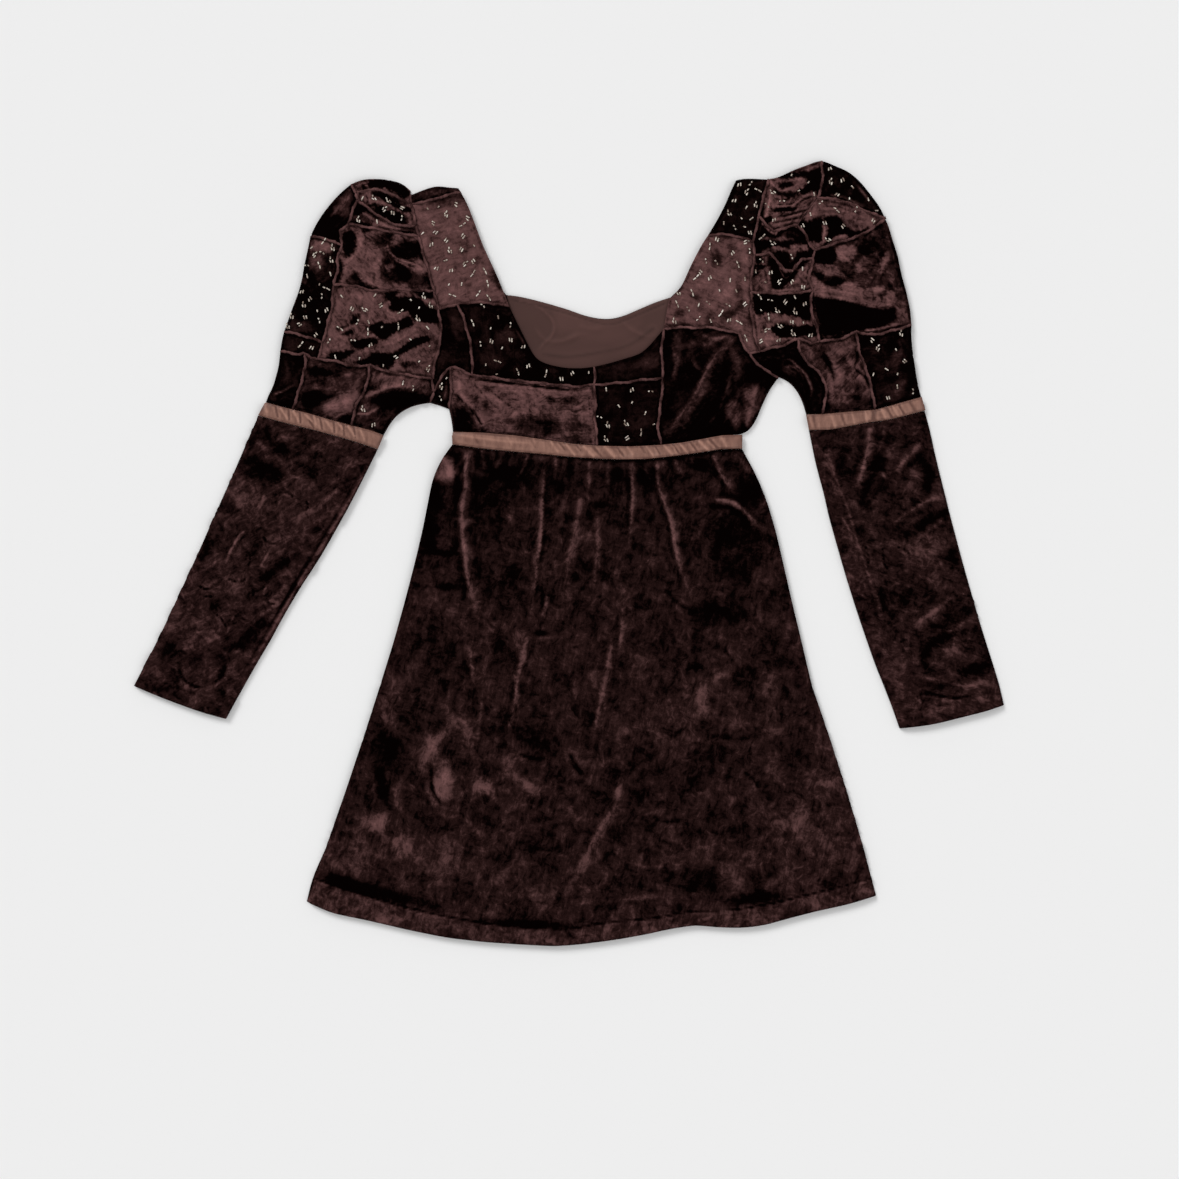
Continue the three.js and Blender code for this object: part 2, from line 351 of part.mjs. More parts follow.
// Short gathers between the long folds, at the waist seam. x: where one starts; lean: how far it drifts sideways.
const GATHER_WIDTH = 4.2;
const GATHERS = [
  { x: -104, length: 34, height: 2.2, lean: -4 }, { x: -89, length: 24, height: 1.8, lean: -3 },
  { x: -73, length: 42, height: 2.4, lean: -5 }, { x: -55, length: 36, height: 3, lean: -8 },
  { x: -42, length: 28, height: 2.2, lean: -2 }, { x: -14, length: 52, height: 2.8, lean: -3 },
  { x: 1, length: 30, height: 2.2, lean: -2 }, { x: 42, length: 38, height: 2.2, lean: 1 },
  { x: 57, length: 46, height: 2.6, lean: 0 }, { x: 86, length: 36, height: 2.2, lean: 3 },
  { x: 117, length: 40, height: 2.6, lean: 9 }, { x: 131, length: 34, height: 2.6, lean: 12 },
  { x: 148, length: 30, height: 2.4, lean: 12 },
];

const SLEEVE_FOLDS = [
  { path: [[-340, 138], [-322, 112], [-306, 84]], width: 8, height: 2.2, start: 0.5, end: 0.1 },
  { path: [[-400, 44], [-372, 24], [-344, 18]], width: 8, height: 1.8, start: 0.1, end: 0.1 },
  { path: [[-246, 92], [-262, 64], [-282, 30], [-302, -6]], width: 6, height: 1.8, start: 0.3, end: 0.1 },
  { path: [[-372, -92], [-352, -66], [-330, -52]], width: 8, height: 2, start: 0.1, end: 0.2 },
  { path: [[-452, -86], [-424, -96], [-396, -120]], width: 9, height: 1.8, start: 0.1, end: 0.1 },
  { path: [[346, 148], [342, 122], [334, 96], [326, 60]], width: 7, height: 2.6, start: 0.8, end: 0.1 },
  { path: [[396, 150], [384, 126], [372, 104]], width: 8, height: 2.2, start: 0.3, end: 0.1 },
  { path: [[420, 76], [396, 46], [368, 30]], width: 8, height: 1.8, start: 0.1, end: 0.1 },
  { path: [[352, -30], [354, -66], [376, -112], [400, -150]], width: 8, height: 2, start: 0.1, end: 0.1 },
  { path: [[456, -46], [432, -78], [404, -96]], width: 8, height: 1.8, start: 0.1, end: 0.1 },
];

// ---------------------------------------------------------------- measuring on the plan

const between = (a, b, t) => [a[0] + (b[0] - a[0]) * t, a[1] + (b[1] - a[1]) * t];
const distance = (a, b) => Math.hypot(b[0] - a[0], b[1] - a[1]);

// The nearest place on a line to a point: how far off it is, and its share of the line's length.
function nearest(line, p) {
  let best = { off: Infinity, along: 0 };
  let walked = 0;
  for (let i = 0; i + 1 < line.length; i++) {
    const [a, b] = [line[i], line[i + 1]];
    const length = distance(a, b);
    const dot = (p[0] - a[0]) * (b[0] - a[0]) + (p[1] - a[1]) * (b[1] - a[1]);
    const t = THREE.MathUtils.clamp(dot / (length * length), 0, 1);
    const off = distance(p, between(a, b, t));
    if (off < best.off) best = { off, along: walked + t * length };
    walked += length;
  }
  return { off: best.off, share: best.along / walked };
}

// Points of a line at given shares of its length.
function atShares(line, shares) {
  const reach = [0];
  line.slice(1).forEach((p, i) => reach.push(reach[i] + distance(line[i], p)));
  return shares.map((share) => {
    const s = reach.at(-1) * share;
    const i = Math.max(1, reach.findIndex((r) => r >= s - 1e-9));
    return between(line[i - 1], line[i], (s - reach[i - 1]) / (reach[i] - reach[i - 1]));
  });
}

const even = (parts) => Array.from({ length: parts + 1 }, (_, k) => k / parts);

// A line with each of its stretches divided into the same number of parts.
const subdivided = (line, parts) => [
  ...line.slice(0, -1).flatMap((p, i) => even(parts).slice(0, -1).map((t) => between(p, line[i + 1], t))),
  line.at(-1),
];

// Rows of plan points between four edges. near and far run across; first and last run down the sides, row by row.
function blended(first, last, near, far, shares) {
  const sag = (line, j) => {
    const straight = between(line[0], line.at(-1), j / (line.length - 1));
    return [line[j][0] - straight[0], line[j][1] - straight[1]];
  };
  return shares.map((v, i) =>
    near.map((_, j) => {
      const straight = between(first[i], last[i], j / (near.length - 1));
      return [0, 1].map((k) => straight[k] + (1 - v) * sag(near, j)[k] + v * sag(far, j)[k]);
    }),
  );
}

// The closed outline that a loop of stretches makes, running counterclockwise.
function outlineOf(loop) {
  const points = loop.flatMap(([name, from, to]) => {
    const step = to > from ? 1 : -1;
    const count = Math.abs(to - from);
    return Array.from({ length: count }, (_, k) => LINES[name][from + k * step]);
  });
  return THREE.ShapeUtils.area(points.map(([x, y]) => ({ x, y }))) < 0 ? points.reverse() : points;
}

// The outline with its long sides divided, each the same way whichever patch it belongs to.
function divided(outline, step) {
  return outline.flatMap((p, i) => {
    const q = outline[(i + 1) % outline.length];
    const count = Math.max(1, Math.round(distance(p, q) / step));
    return Array.from({ length: count }, (_, k) => between(p, q, k / count));
  });
}

// The outline moved in all round, so that neighbours lie a seam gap apart.
function insetBy(outline, amount) {
  return outline.map((p, i) => {
    const before = outline[(i + outline.length - 1) % outline.length];
    const after = outline[(i + 1) % outline.length];
    const [u, v] = [[before, p], [p, after]].map(([a, b]) => {
      const length = distance(a, b);
      return [-(b[1] - a[1]) / length, (b[0] - a[0]) / length];
    });
    const spread = Math.max(MITRE_LIMIT, 1 + u[0] * v[0] + u[1] * v[1]);
    return [p[0] + ((u[0] + v[0]) * amount) / spread, p[1] + ((u[1] + v[1]) * amount) / spread];
  });
}

function holds(outline, p) {
  return outline.reduce((inside, a, i) => {
    const b = outline[(i + 1) % outline.length];
    const crosses = a[1] > p[1] !== b[1] > p[1] && p[0] < ((b[0] - a[0]) * (p[1] - a[1])) / (b[1] - a[1]) + a[0];
    return crosses ? !inside : inside;
  }, false);
}

// ---------------------------------------------------------------- the lie of the cloth

const SIDE_EDGES = [
  "outlineRight", "underarmEdgeRight", "sideRight", "outlineLeft", "underarmEdgeLeft", "sideLeft",
  "sleeveOuterRight", "sleeveInnerRight", "sleeveOuterLeft", "sleeveInnerLeft", "skirtRightEdge", "skirtLeftEdge",
  "shoulderTopRight", "shoulderTopLeft",
].map((name) => LINES[name]);
const PUFF_SEAMS = {
  right: [LINES.armholeRight, LINES.ribbonTopRight],
  left: [[...LINES.armholeLeft, ...LINES.underarmLeft], LINES.ribbonTopLeft],
};
const EVERY_FOLD = [
  ...PUFF_FOLDS, ...BODICE_FOLDS, ...SKIRT_FOLDS, ...SLEEVE_FOLDS,
  ...GATHERS.map(({ x, length, height, lean }) => {
    const top = atShares(LINES.waistBottom, even(200)).reduce((a, b) => (Math.abs(b[0] - x) < Math.abs(a[0] - x) ? b : a));
    return { path: [top, [x + lean, top[1] - length]], width: GATHER_WIDTH, height, start: 0.8, end: 0 };
  }),
];
const FOLD_REACH = 2.6; // a fold is level with the cloth this many widths from its crest
const TAPER = 0.3; // share of a fold's length over which it rises or runs out

const risen = (off, roll) => 1 - Math.exp(-off / roll);

function foldHeight(fold, p) {
  const { off, share } = nearest(fold.path, p);
  if (off > fold.width * FOLD_REACH) return 0;
  const rise = fold.start + (1 - fold.start) * THREE.MathUtils.smoothstep(share, 0, TAPER);
  const fall = fold.end + (1 - fold.end) * THREE.MathUtils.smoothstep(1 - share, 0, TAPER);
  return fold.height * rise * fall * Math.exp(-((off / fold.width) ** 2));
}

// Height of the front's underside at a point of the plan.
function frontUnder(p, puff) {
  const edge = Math.min(...SIDE_EDGES.map((line) => nearest(line, p).off));
  const folds = EVERY_FOLD.reduce((sum, fold) => sum + foldHeight(fold, p), 0);
  const body = puff ? PUFF_SEAMS[puff].reduce((share, line) => share * risen(nearest(line, p).off, PUFF_ROLL), 1) : 0;
  return FRONT_UNDER + CLOTH_LOFT * risen(edge, EDGE_ROLL) + (PUFF_LOFT * body + folds) * risen(edge, FOLD_ROLL);
}

// ---------------------------------------------------------------- making solids

// A closed geometry from points and triangles, each triangle seen counterclockwise from outside.
function solidGeometry(points, triangles) {
  const geometry = new THREE.BufferGeometry();
  geometry.setAttribute("position", new THREE.Float32BufferAttribute(points.flat(), 3));
  geometry.setIndex(triangles.flat());
  geometry.computeVertexNormals();
  return geometry;
}

// Triangles over scattered plan points, each with no other point in the circle round it.
function delaunay(points) {
  const far = 10000; // well outside the dress
  const all = [...points, [-far, -far], [far, -far], [0, far]];
  const n = points.length;
  let triangles = [[n, n + 1, n + 2]];
  const circled = ([a, b, c], p) => {
    const [ax, ay, bx, by, cx, cy] = [a, b, c].flatMap((i) => [all[i][0] - p[0], all[i][1] - p[1]]);
    const [aa, bb, cc] = [ax * ax + ay * ay, bx * bx + by * by, cx * cx + cy * cy];
    return aa * (bx * cy - by * cx) - bb * (ax * cy - ay * cx) + cc * (ax * by - ay * bx) > 0;
  };
  points.forEach((p, i) => {
    const opened = triangles.filter((t) => circled(t, p));
    const sides = opened.flatMap(([a, b, c]) => [[a, b], [b, c], [c, a]]);
    const rim = sides.filter(([a, b]) => !sides.some(([c, d]) => a === d && b === c));
    triangles = [...triangles.filter((t) => !opened.includes(t)), ...rim.map(([a, b]) => [a, b, i])];
  });
  return triangles.filter((t) => t.every((i) => i < n));
}

// A wall over an outline, from under(p) up to over(p).
function wallOver(outline, step, under, over) {
  const rim = insetBy(divided(outline, step), SEAM_GAP / 2);
  const points = [...rim];
  const [xs, ys] = [rim.map((p) => p[0]), rim.map((p) => p[1])];
  const row = (step * Math.sqrt(3)) / 2;
  for (let j = 0; Math.min(...ys) + j * row < Math.max(...ys); j++)
    for (let x = Math.min(...xs) + (j % 2) * (step / 2); x < Math.max(...xs); x += step) {
      const p = [x, Math.min(...ys) + j * row];
      if (holds(rim, p) && nearest([...rim, rim[0]], p).off > step * RIM_CLEARANCE) points.push(p);
    }
  const centre = (t) => [0, 1].map((k) => (points[t[0]][k] + points[t[1]][k] + points[t[2]][k]) / 3);
  const faces = delaunay(points).filter((t) => holds(rim, centre(t)));
  const n = points.length;
  const sides = faces.flatMap(([a, b, c]) => [[a, b], [b, c], [c, a]]);
  const open = sides.filter(([a, b]) => !sides.some(([c, d]) => a === d && b === c));
  return solidGeometry(
    [...points.map((p) => [...p, over(p)]), ...points.map((p) => [...p, under(p)])],
    [
      ...faces,
      ...faces.map(([a, b, c]) => [a + n, c + n, b + n]),
      ...open.flatMap(([a, b]) => [[a, a + n, b + n], [a, b + n, b]]),
    ],
  );
}

// A wall over a grid of plan points, rows[i][j], from under(p) up by a thickness.
function wallOnGrid(rows, under, thickness) {
  const [m, n] = [rows.length, rows[0].length];
  const tops = rows.flat().map((p) => [...p, under(p) + thickness]);
  const feet = rows.flat().map((p) => [...p, under(p)]);
  const low = m * n;
  const triangles = [];
  const quad = (a, b, c, d) => triangles.push([a, b, c], [a, c, d]);
  for (let i = 0; i + 1 < m; i++)
    for (let j = 0; j + 1 < n; j++) {
      const a = i * n + j;
      quad(a, a + n, a + n + 1, a + 1);
      quad(low + a, low + a + 1, low + a + n + 1, low + a + n);
    }
  const rim = [
    ...Array.from({ length: m - 1 }, (_, i) => i * n),
    ...Array.from({ length: n - 1 }, (_, j) => (m - 1) * n + j),
    ...Array.from({ length: m - 1 }, (_, i) => (m - 1 - i) * n + n - 1),
    ...Array.from({ length: n - 1 }, (_, j) => n - 1 - j),
  ];
  rim.forEach((a, i) => {
    const b = rim[(i + 1) % rim.length];
    quad(a, low + a, low + b, b);
  });
  return solidGeometry([...tops, ...feet], triangles);
}

// ---------------------------------------------------------------- the dress

const dress = new THREE.Group();

function add(name, geometry, colour, roughness = VELVET_ROUGHNESS) {
  const material = new THREE.MeshStandardMaterial({ color: COLOURS[colour], roughness, metalness: 0 });
  const mesh = new THREE.Mesh(geometry, material);
  mesh.name = name;
  dress.add(mesh);
}

for (const { node, colour, under, thickness, loop } of BACKS)
  add(node, wallOver(outlineOf(loop), BACK_STEP, () => under, () => under + thickness), colour);

for (const { node, colour, puff, loop } of PATCHES) {
  const under = (p) => frontUnder(p, puff);
  add(node, wallOver(outlineOf(loop), PATCH_STEP, under, (p) => under(p) + VELVET), colour);
}

// The skirt's front hangs between four edges, and its points are blended from all of them.
function skirtFront() {
  const columns = even(SKIRT_COLUMNS);
  const waist = atShares(LINES.waistBottom, columns).map(([x, y]) => [x, y - SEAM_GAP]);
  const [right, left] = [LINES.skirtRightEdge, LINES.skirtLeftEdge].map((edge) => atShares(edge, SKIRT_ROWS));
  const rows = blended(right, left, waist, atShares(LINES.hem, columns), SKIRT_ROWS);
  return wallOnGrid([waist, ...rows.slice(1)], frontUnder, VELVET);
}
add("skirt_front", skirtFront(), "skirt");

// A lower sleeve is one piece, folded flat along its outer edge; its rows run from the ribbon to the cuff.
function sleeveFront(ribbonFoot, firstEdge, lastEdge, cuffEdge) {
  const top = subdivided(ribbonFoot, RIBBON_PARTS).map(([x, y]) => [x, y - SEAM_GAP]);
  const shares = even(SLEEVE_ROWS);
  const [first, last] = [firstEdge, lastEdge].map((edge) => atShares(edge, shares));
  const rows = blended(first, last, top, atShares(cuffEdge, even(top.length - 1)), shares);
  return wallOnGrid([top, ...rows.slice(1)], frontUnder, VELVET);
}
const { ribbonFootRight, sleeveOuterRight, sleeveInnerRight, cuffRight } = LINES;
add("lower_sleeve_right", sleeveFront(ribbonFootRight, sleeveOuterRight, sleeveInnerRight, cuffRight), "skirt");
const { ribbonFootLeft, sleeveOuterLeft, sleeveInnerLeft, cuffLeft } = LINES;
add("lower_sleeve_left", sleeveFront(ribbonFootLeft, sleeveInnerLeft, sleeveOuterLeft, cuffLeft), "skirt");

// A satin ribbon goes all round, and lies as one strip in front and one behind.
function addRibbon(name, topEdge, footEdge) {
  const [top, foot] = [topEdge, footEdge].map((edge) => subdivided(edge, RIBBON_PARTS));
  const inset = (from, to) => from.map((p, j) => between(p, to[j], SEAM_GAP / distance(p, to[j])));
  const middle = top.map((p, j) => between(p, foot[j], 0.5));
  const rows = [inset(top, foot), middle, inset(foot, top)];
  add(name, wallOnGrid(rows, frontUnder, RIBBON), "satin", SATIN_ROUGHNESS);
  add(`${name}_back`, wallOnGrid(rows, () => 0, VELVET), "satin", SATIN_ROUGHNESS);
}
addRibbon("ribbon_waist", LINES.waistTop, LINES.waistBottom);
addRibbon("ribbon_sleeve_right", LINES.ribbonTopRight, LINES.ribbonFootRight);
addRibbon("ribbon_sleeve_left", LINES.ribbonTopLeft, LINES.ribbonFootLeft);

export default dress;
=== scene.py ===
import math
import random
from itertools import combinations, product

import bmesh
import bpy
import numpy as np
from mathutils import Matrix, Vector
from mathutils.bvhtree import BVHTree
from mathutils.geometry import delaunay_2d_cdt
from mathutils.kdtree import KDTree


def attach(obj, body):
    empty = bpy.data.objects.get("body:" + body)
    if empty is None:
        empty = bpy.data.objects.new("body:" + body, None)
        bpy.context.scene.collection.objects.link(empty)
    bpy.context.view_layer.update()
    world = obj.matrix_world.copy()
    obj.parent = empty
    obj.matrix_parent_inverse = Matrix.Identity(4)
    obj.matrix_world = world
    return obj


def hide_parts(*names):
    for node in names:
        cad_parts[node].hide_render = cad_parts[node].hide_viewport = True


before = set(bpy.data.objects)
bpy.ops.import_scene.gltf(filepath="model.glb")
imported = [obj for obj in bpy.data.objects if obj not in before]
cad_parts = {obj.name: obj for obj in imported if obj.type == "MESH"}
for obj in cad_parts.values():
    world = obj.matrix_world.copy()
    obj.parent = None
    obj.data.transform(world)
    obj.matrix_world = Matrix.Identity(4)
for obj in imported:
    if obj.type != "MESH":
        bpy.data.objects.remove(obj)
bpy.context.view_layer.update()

MM = 0.001
bpy.ops.object.select_all(action="DESELECT")

# ---------------------------------------------------------------- camera, light and floor
# The dress lies on a pale floor under soft studio light, and the camera looks straight down on it.
# A long lens on a high stand keeps the sleeves from leaning outwards at the edges of the view.

VIEW_WIDTH = 1.3559
VIEW_CENTRE = (0.0236, -0.0414)
LENS, SENSOR = 85, 36

camera_data = bpy.data.cameras.new("camera")
camera_data.lens = LENS
camera_data.sensor_width = SENSOR
camera = bpy.data.objects.new("camera", camera_data)
camera.location = (*VIEW_CENTRE, VIEW_WIDTH * LENS / SENSOR)
bpy.context.scene.collection.objects.link(camera)
bpy.context.scene.camera = camera
bpy.context.scene.view_settings.view_transform = "Standard"

world = bpy.data.worlds.new("studio")
bpy.context.scene.world = world
world.use_nodes = True
world.node_tree.nodes["Background"].inputs["Color"].default_value = (1, 1, 1, 1)
world.node_tree.nodes["Background"].inputs["Strength"].default_value = 0.56


def studio_light(name, place, spread, strength):
    """A large far light that shines from its place towards the dress, soft over the spread in degrees."""
    data = bpy.data.lights.new(name, "SUN")
    data.angle = math.radians(spread)
    data.energy = strength
    lamp = bpy.data.objects.new(name, data)
    lamp.location = place
    lamp.rotation_euler = (-Vector(place)).to_track_quat("-Z", "Y").to_euler()
    bpy.context.scene.collection.objects.link(lamp)


studio_light("key_light", (-1.2, 1.5, 1.4), 24, 1.65)
studio_light("fill_light", (1.6, -0.6, 1.6), 50, 0.55)

bpy.ops.mesh.primitive_plane_add(size=6, location=(0, 0, -0.0003))
floor = bpy.context.object
floor.name = "floor"
floor_finish = bpy.data.materials.new("pale_floor")
floor_finish.use_nodes = True
floor_finish.node_tree.nodes["Principled BSDF"].inputs["Base Color"].default_value = (0.862, 0.862, 0.862, 1)
floor_finish.node_tree.nodes["Principled BSDF"].inputs["Roughness"].default_value = 0.9
floor.data.materials.append(floor_finish)
bpy.ops.object.select_all(action="DESELECT")

# ---------------------------------------------------------------- crushed velvet
# Polyester velvet whose pile was pressed flat in all directions, so that it is black where it leans
# away and mauve-brown where it lies towards the light. It has almost no gloss, and a faint bloom.

BLACK = (0.0012, 0.0004, 0.0004)
BROWN = (0.0190, 0.0078, 0.0072)
MAUVE = (0.104, 0.049, 0.047)


def new_group(name, inputs, outputs):
    """A shader group with the named sockets."""
    group = bpy.data.node_groups.new(name, "ShaderNodeTree")
    for socket, kind, value in inputs:
        made = group.interface.new_socket(socket, in_out="INPUT", socket_type=kind)
        made.default_value = value
    for socket, kind in outputs:
        group.interface.new_socket(socket, in_out="OUTPUT", socket_type=kind)
    return group


def wire(tree, kind, settings=(), **links):
    """A node with its settings made and its named inputs linked or set."""
    node = tree.nodes.new(kind)
    for name, value in dict(settings).items():
        setattr(node, name, value)
    for name, value in links.items():
        key = int(name[1:]) if name[0] == "_" else name.replace("_", " ")
        if isinstance(value, bpy.types.NodeSocket):
            tree.links.new(value, node.inputs[key])
        else:
            node.inputs[key].default_value = value
    return node


def maths(tree, operation, *values):
    """The result of a Math node."""
    inputs = {f"_{i}": value for i, value in enumerate(values)}
    node = wire(tree, "ShaderNodeMath", {"operation": operation}, **inputs)
    return node.outputs[0]


def vector_maths(tree, operation, **values):
    """The result of a Vector Math node."""
    return wire(tree, "ShaderNodeVectorMath", {"operation": operation}, **values).outputs[0]


def smooth_range(tree, value, low, high):
    """value eased from 0 at low to 1 at high."""
    node = wire(tree, "ShaderNodeMapRange", {"interpolation_type": "SMOOTHSTEP"}, Value=value)
    node.inputs["From Min"].default_value = low
    node.inputs["From Max"].default_value = high
    return node.outputs[0]


def blend_colours(tree, share, first, second):
    """first where share is 0 and second where it is 1."""
    node = wire(tree, "ShaderNodeMix", {"data_type": "RGBA"}, _0=share, _6=first, _7=second)
    return node.outputs[2]


def noise(tree, place, scale, stretch=(1, 1, 1), detail=3.0, roughness=0.6, distortion=0.0):
    """Noise about 0, drawn out where the stretch is less than 1."""
    drawn = wire(tree, "ShaderNodeMapping", Vector=place, Scale=stretch).outputs[0]
    made = wire(tree, "ShaderNodeTexNoise", Vector=drawn, Scale=scale, Detail=detail, Roughness=roughness,
                Distortion=distortion)
    return maths(tree, "SUBTRACT", made.outputs[0], 0.5)


def weighed_sum(tree, *pairs):
    """The sum of each value times its weight."""
    total = 0.0
    for value, weight in pairs:
        total = maths(tree, "MULTIPLY_ADD", value, weight, total)
    return total


def make_nap_group():
    """Colour and pile of crushed velvet. A per-point tone attribute says where the pile was laid light or
    dark, and also carries painted highlights and painted shade along creases and seams.
    """
    vector, value, colour = "NodeSocketVector", "NodeSocketFloat", "NodeSocketColor"
    group = new_group(
        "crushed nap",
        [("Shift", vector, (0, 0, 0)), ("Turn", vector, (0, 0, 0)), ("Mottle", value, 1.0),
         ("Grain", value, 1.0), ("Contrast", value, 1.0), ("Dark", colour, (*BLACK, 1)),
         ("Middle", colour, (*BROWN, 1)), ("Light", colour, (*MAUVE, 1))],
        [("Color", colour), ("Roughness", value), ("Normal", vector)],
    )
    given = group.nodes.new("NodeGroupInput").outputs
    place = wire(group, "ShaderNodeTexCoord").outputs["Object"]
    turned = wire(group, "ShaderNodeMapping", Vector=place, Location=given["Shift"], Rotation=given["Turn"])
    place = turned.outputs[0]
    drift = wire(group, "ShaderNodeTexNoise", Vector=place, Scale=46.0, Detail=2.0).outputs["Color"]
    centred = vector_maths(group, "SUBTRACT", _0=drift, _1=(0.5, 0.5, 0.5))
    pushed = vector_maths(group, "SCALE", _0=centred, Scale=0.02)
    crushed = vector_maths(group, "ADD", _0=place, _1=pushed)
    nudged = vector_maths(group, "SCALE", _0=pushed, Scale=0.35)
    waved = vector_maths(group, "ADD", _0=place, _1=nudged)
    clouds = noise(group, crushed, 30.0, (1, 0.8, 1), 2.0)
    dabs = noise(group, crushed, 88.0, (1, 0.75, 1), 4.0, 0.62, 0.3)
    flecks = noise(group, crushed, 230.0, (1, 0.75, 1), 3.0, 0.65, 0.2)
    folds = noise(group, place, 130.0, (1, 0.16, 1), 2.0)
    cells = wire(group, "ShaderNodeTexVoronoi", {"feature": "SMOOTH_F1"}, Vector=crushed, Scale=130.0,
                 Smoothness=0.5)
    cells = wire(group, "ShaderNodeSeparateColor", _0=cells.outputs["Color"]).outputs[0]
    cells = maths(group, "SUBTRACT", cells, 0.5)
    down = noise(group, waved, 430.0, (1, 0.1, 1), 3.0, 0.62)
    across = noise(group, waved, 430.0, (0.12, 1, 1), 3.0, 0.62)
    pile = noise(group, place, 1100.0, (1, 0.6, 1), 2.0, 0.7)
    # The tone attribute: the pile laid light or dark, with painted highlights on crease crests and painted
    # shade in troughs and beside seams.
    tone_and_shading = wire(group, "ShaderNodeAttribute", {"attribute_name": "tone_and_painted_light"}).outputs["Fac"]
    streaked = weighed_sum(group, (down, 0.5), (flecks, 0.7), (dabs, 0.8), (1.0, 1.0))
    brushed = maths(group, "MULTIPLY", tone_and_shading, streaked)
    uneven = weighed_sum(group, (clouds, 1.25), (dabs, 1.3), (flecks, 0.75), (folds, 0.4), (cells, 0.2),
                         (down, 0.34), (across, 0.32))
    lean = maths(group, "MULTIPLY_ADD", uneven, given["Mottle"], brushed)
    lean = maths(group, "MULTIPLY_ADD", maths(group, "SUBTRACT", lean, 0.45), given["Contrast"], 0.45)
    lean = maths(group, "MULTIPLY_ADD", pile, given["Grain"], lean)
    tone = blend_colours(group, smooth_range(group, lean, -0.06, 0.44), given["Dark"], given["Middle"])
    tone = blend_colours(group, smooth_range(group, lean, 0.30, 0.98), tone, given["Light"])
    # The brightest pile, and the painted highlights on crease crests, run towards a colour brighter than the
    # mauve.
    crest = vector_maths(group, "SCALE", _0=given["Light"], Scale=1.9)
    tone = blend_colours(group, smooth_range(group, lean, 0.85, 1.55), tone, crest)
    matt = maths(group, "MULTIPLY_ADD", lean, -0.1, 0.92)
    height = weighed_sum(group, (down, 0.6), (pile, 0.5), (dabs, 0.7))
    normal = wire(group, "ShaderNodeBump", Strength=0.3, Distance=0.0012, Height=height).outputs[0]
    wire(group, "NodeGroupOutput", Color=tone, Roughness=matt, Normal=normal)
    return group


NAP = make_nap_group()


def velvet(name, turn=0.0, mottle=0.5, contrast=1.0, grain=0.35, middle=BROWN, light=MAUVE):
    """A velvet with its own stretch of crushed pile; turn is the way of its nap, in degrees."""
    finish = bpy.data.materials.new(name)
    finish.use_nodes = True
    tree = finish.node_tree
    shader = tree.nodes["Principled BSDF"]
    tone_and_painted_light = tree.nodes.new("ShaderNodeGroup")
    tone_and_painted_light.node_tree = NAP
    draw = random.Random(name)
    tone_and_painted_light.inputs["Shift"].default_value = (draw.uniform(-2, 2), draw.uniform(-2, 2), draw.uniform(-2, 2))
    tone_and_painted_light.inputs["Turn"].default_value = (0, 0, math.radians(turn))
    tone_and_painted_light.inputs["Mottle"].default_value = mottle
    tone_and_painted_light.inputs["Grain"].default_value = grain
    tone_and_painted_light.inputs["Contrast"].default_value = contrast
    tone_and_painted_light.inputs["Dark"].default_value = (*BLACK, 1)
    tone_and_painted_light.inputs["Middle"].default_value = (*middle, 1)
    tone_and_painted_light.inputs["Light"].default_value = (*light, 1)
    tree.links.new(tone_and_painted_light.outputs["Color"], shader.inputs["Base Color"])
    tree.links.new(tone_and_painted_light.outputs["Roughness"], shader.inputs["Roughness"])
    tree.links.new(tone_and_painted_light.outputs["Normal"], shader.inputs["Normal"])
    shader.inputs["Specular IOR Level"].default_value = 0.0
    shader.inputs["Sheen Weight"].default_value = 0.03
    shader.inputs["Sheen Roughness"].default_value = 0.4
    shader.inputs["Sheen Tint"].default_value = (0.55, 0.38, 0.36, 1)
    return finish


# ---------------------------------------------------------------- back panels
# The back of the bodice, the skirt and the puffs, cut from plain velvet and lying flat on the floor.
# Each panel is a thin shell over its solid's outline, with a few soft creases where it was folded away.

PILE_CLOTH = 1.0  # thickness of the velvet, millimetres
LINING_CLOTH = 0.6
SATIN_CLOTH = 0.9
CORNER = 32.0  # an outline that turns more sharply than this, in degrees, has a corner there


def walk_round(edges):
    """The points of a closed run of directed edges, in order."""
    onward = dict(edges)
    start = here = edges[0][0]
    run = []
    while True:
        run.append(here)
        here = onward[here]
        if here == start:
            return run


def read_solid(node):
    """The outline of a CAD panel's upper side in millimetres, counterclockwise, and that side's surface."""
    solid = bmesh.new()
    solid.from_mesh(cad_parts[node].data)
    bmesh.ops.remove_doubles(solid, verts=solid.verts, dist=1e-6)
    solid.verts.index_update()
    tops = [face for face in solid.faces if face.normal.z > 0.05]
    sides = [(loop.vert.index, loop.link_loop_next.vert.index) for face in tops for loop in face.loops]
    inner = set(sides)
    rim = walk_round([(a, b) for a, b in sides if (b, a) not in inner])
    points = np.array([vert.co for vert in solid.verts]) / MM
    surface = BVHTree.FromPolygons(points.tolist(), [[vert.index for vert in face.verts] for face in tops])
    outline = points[rim][:, :2]
    solid.free()
    return outline, surface


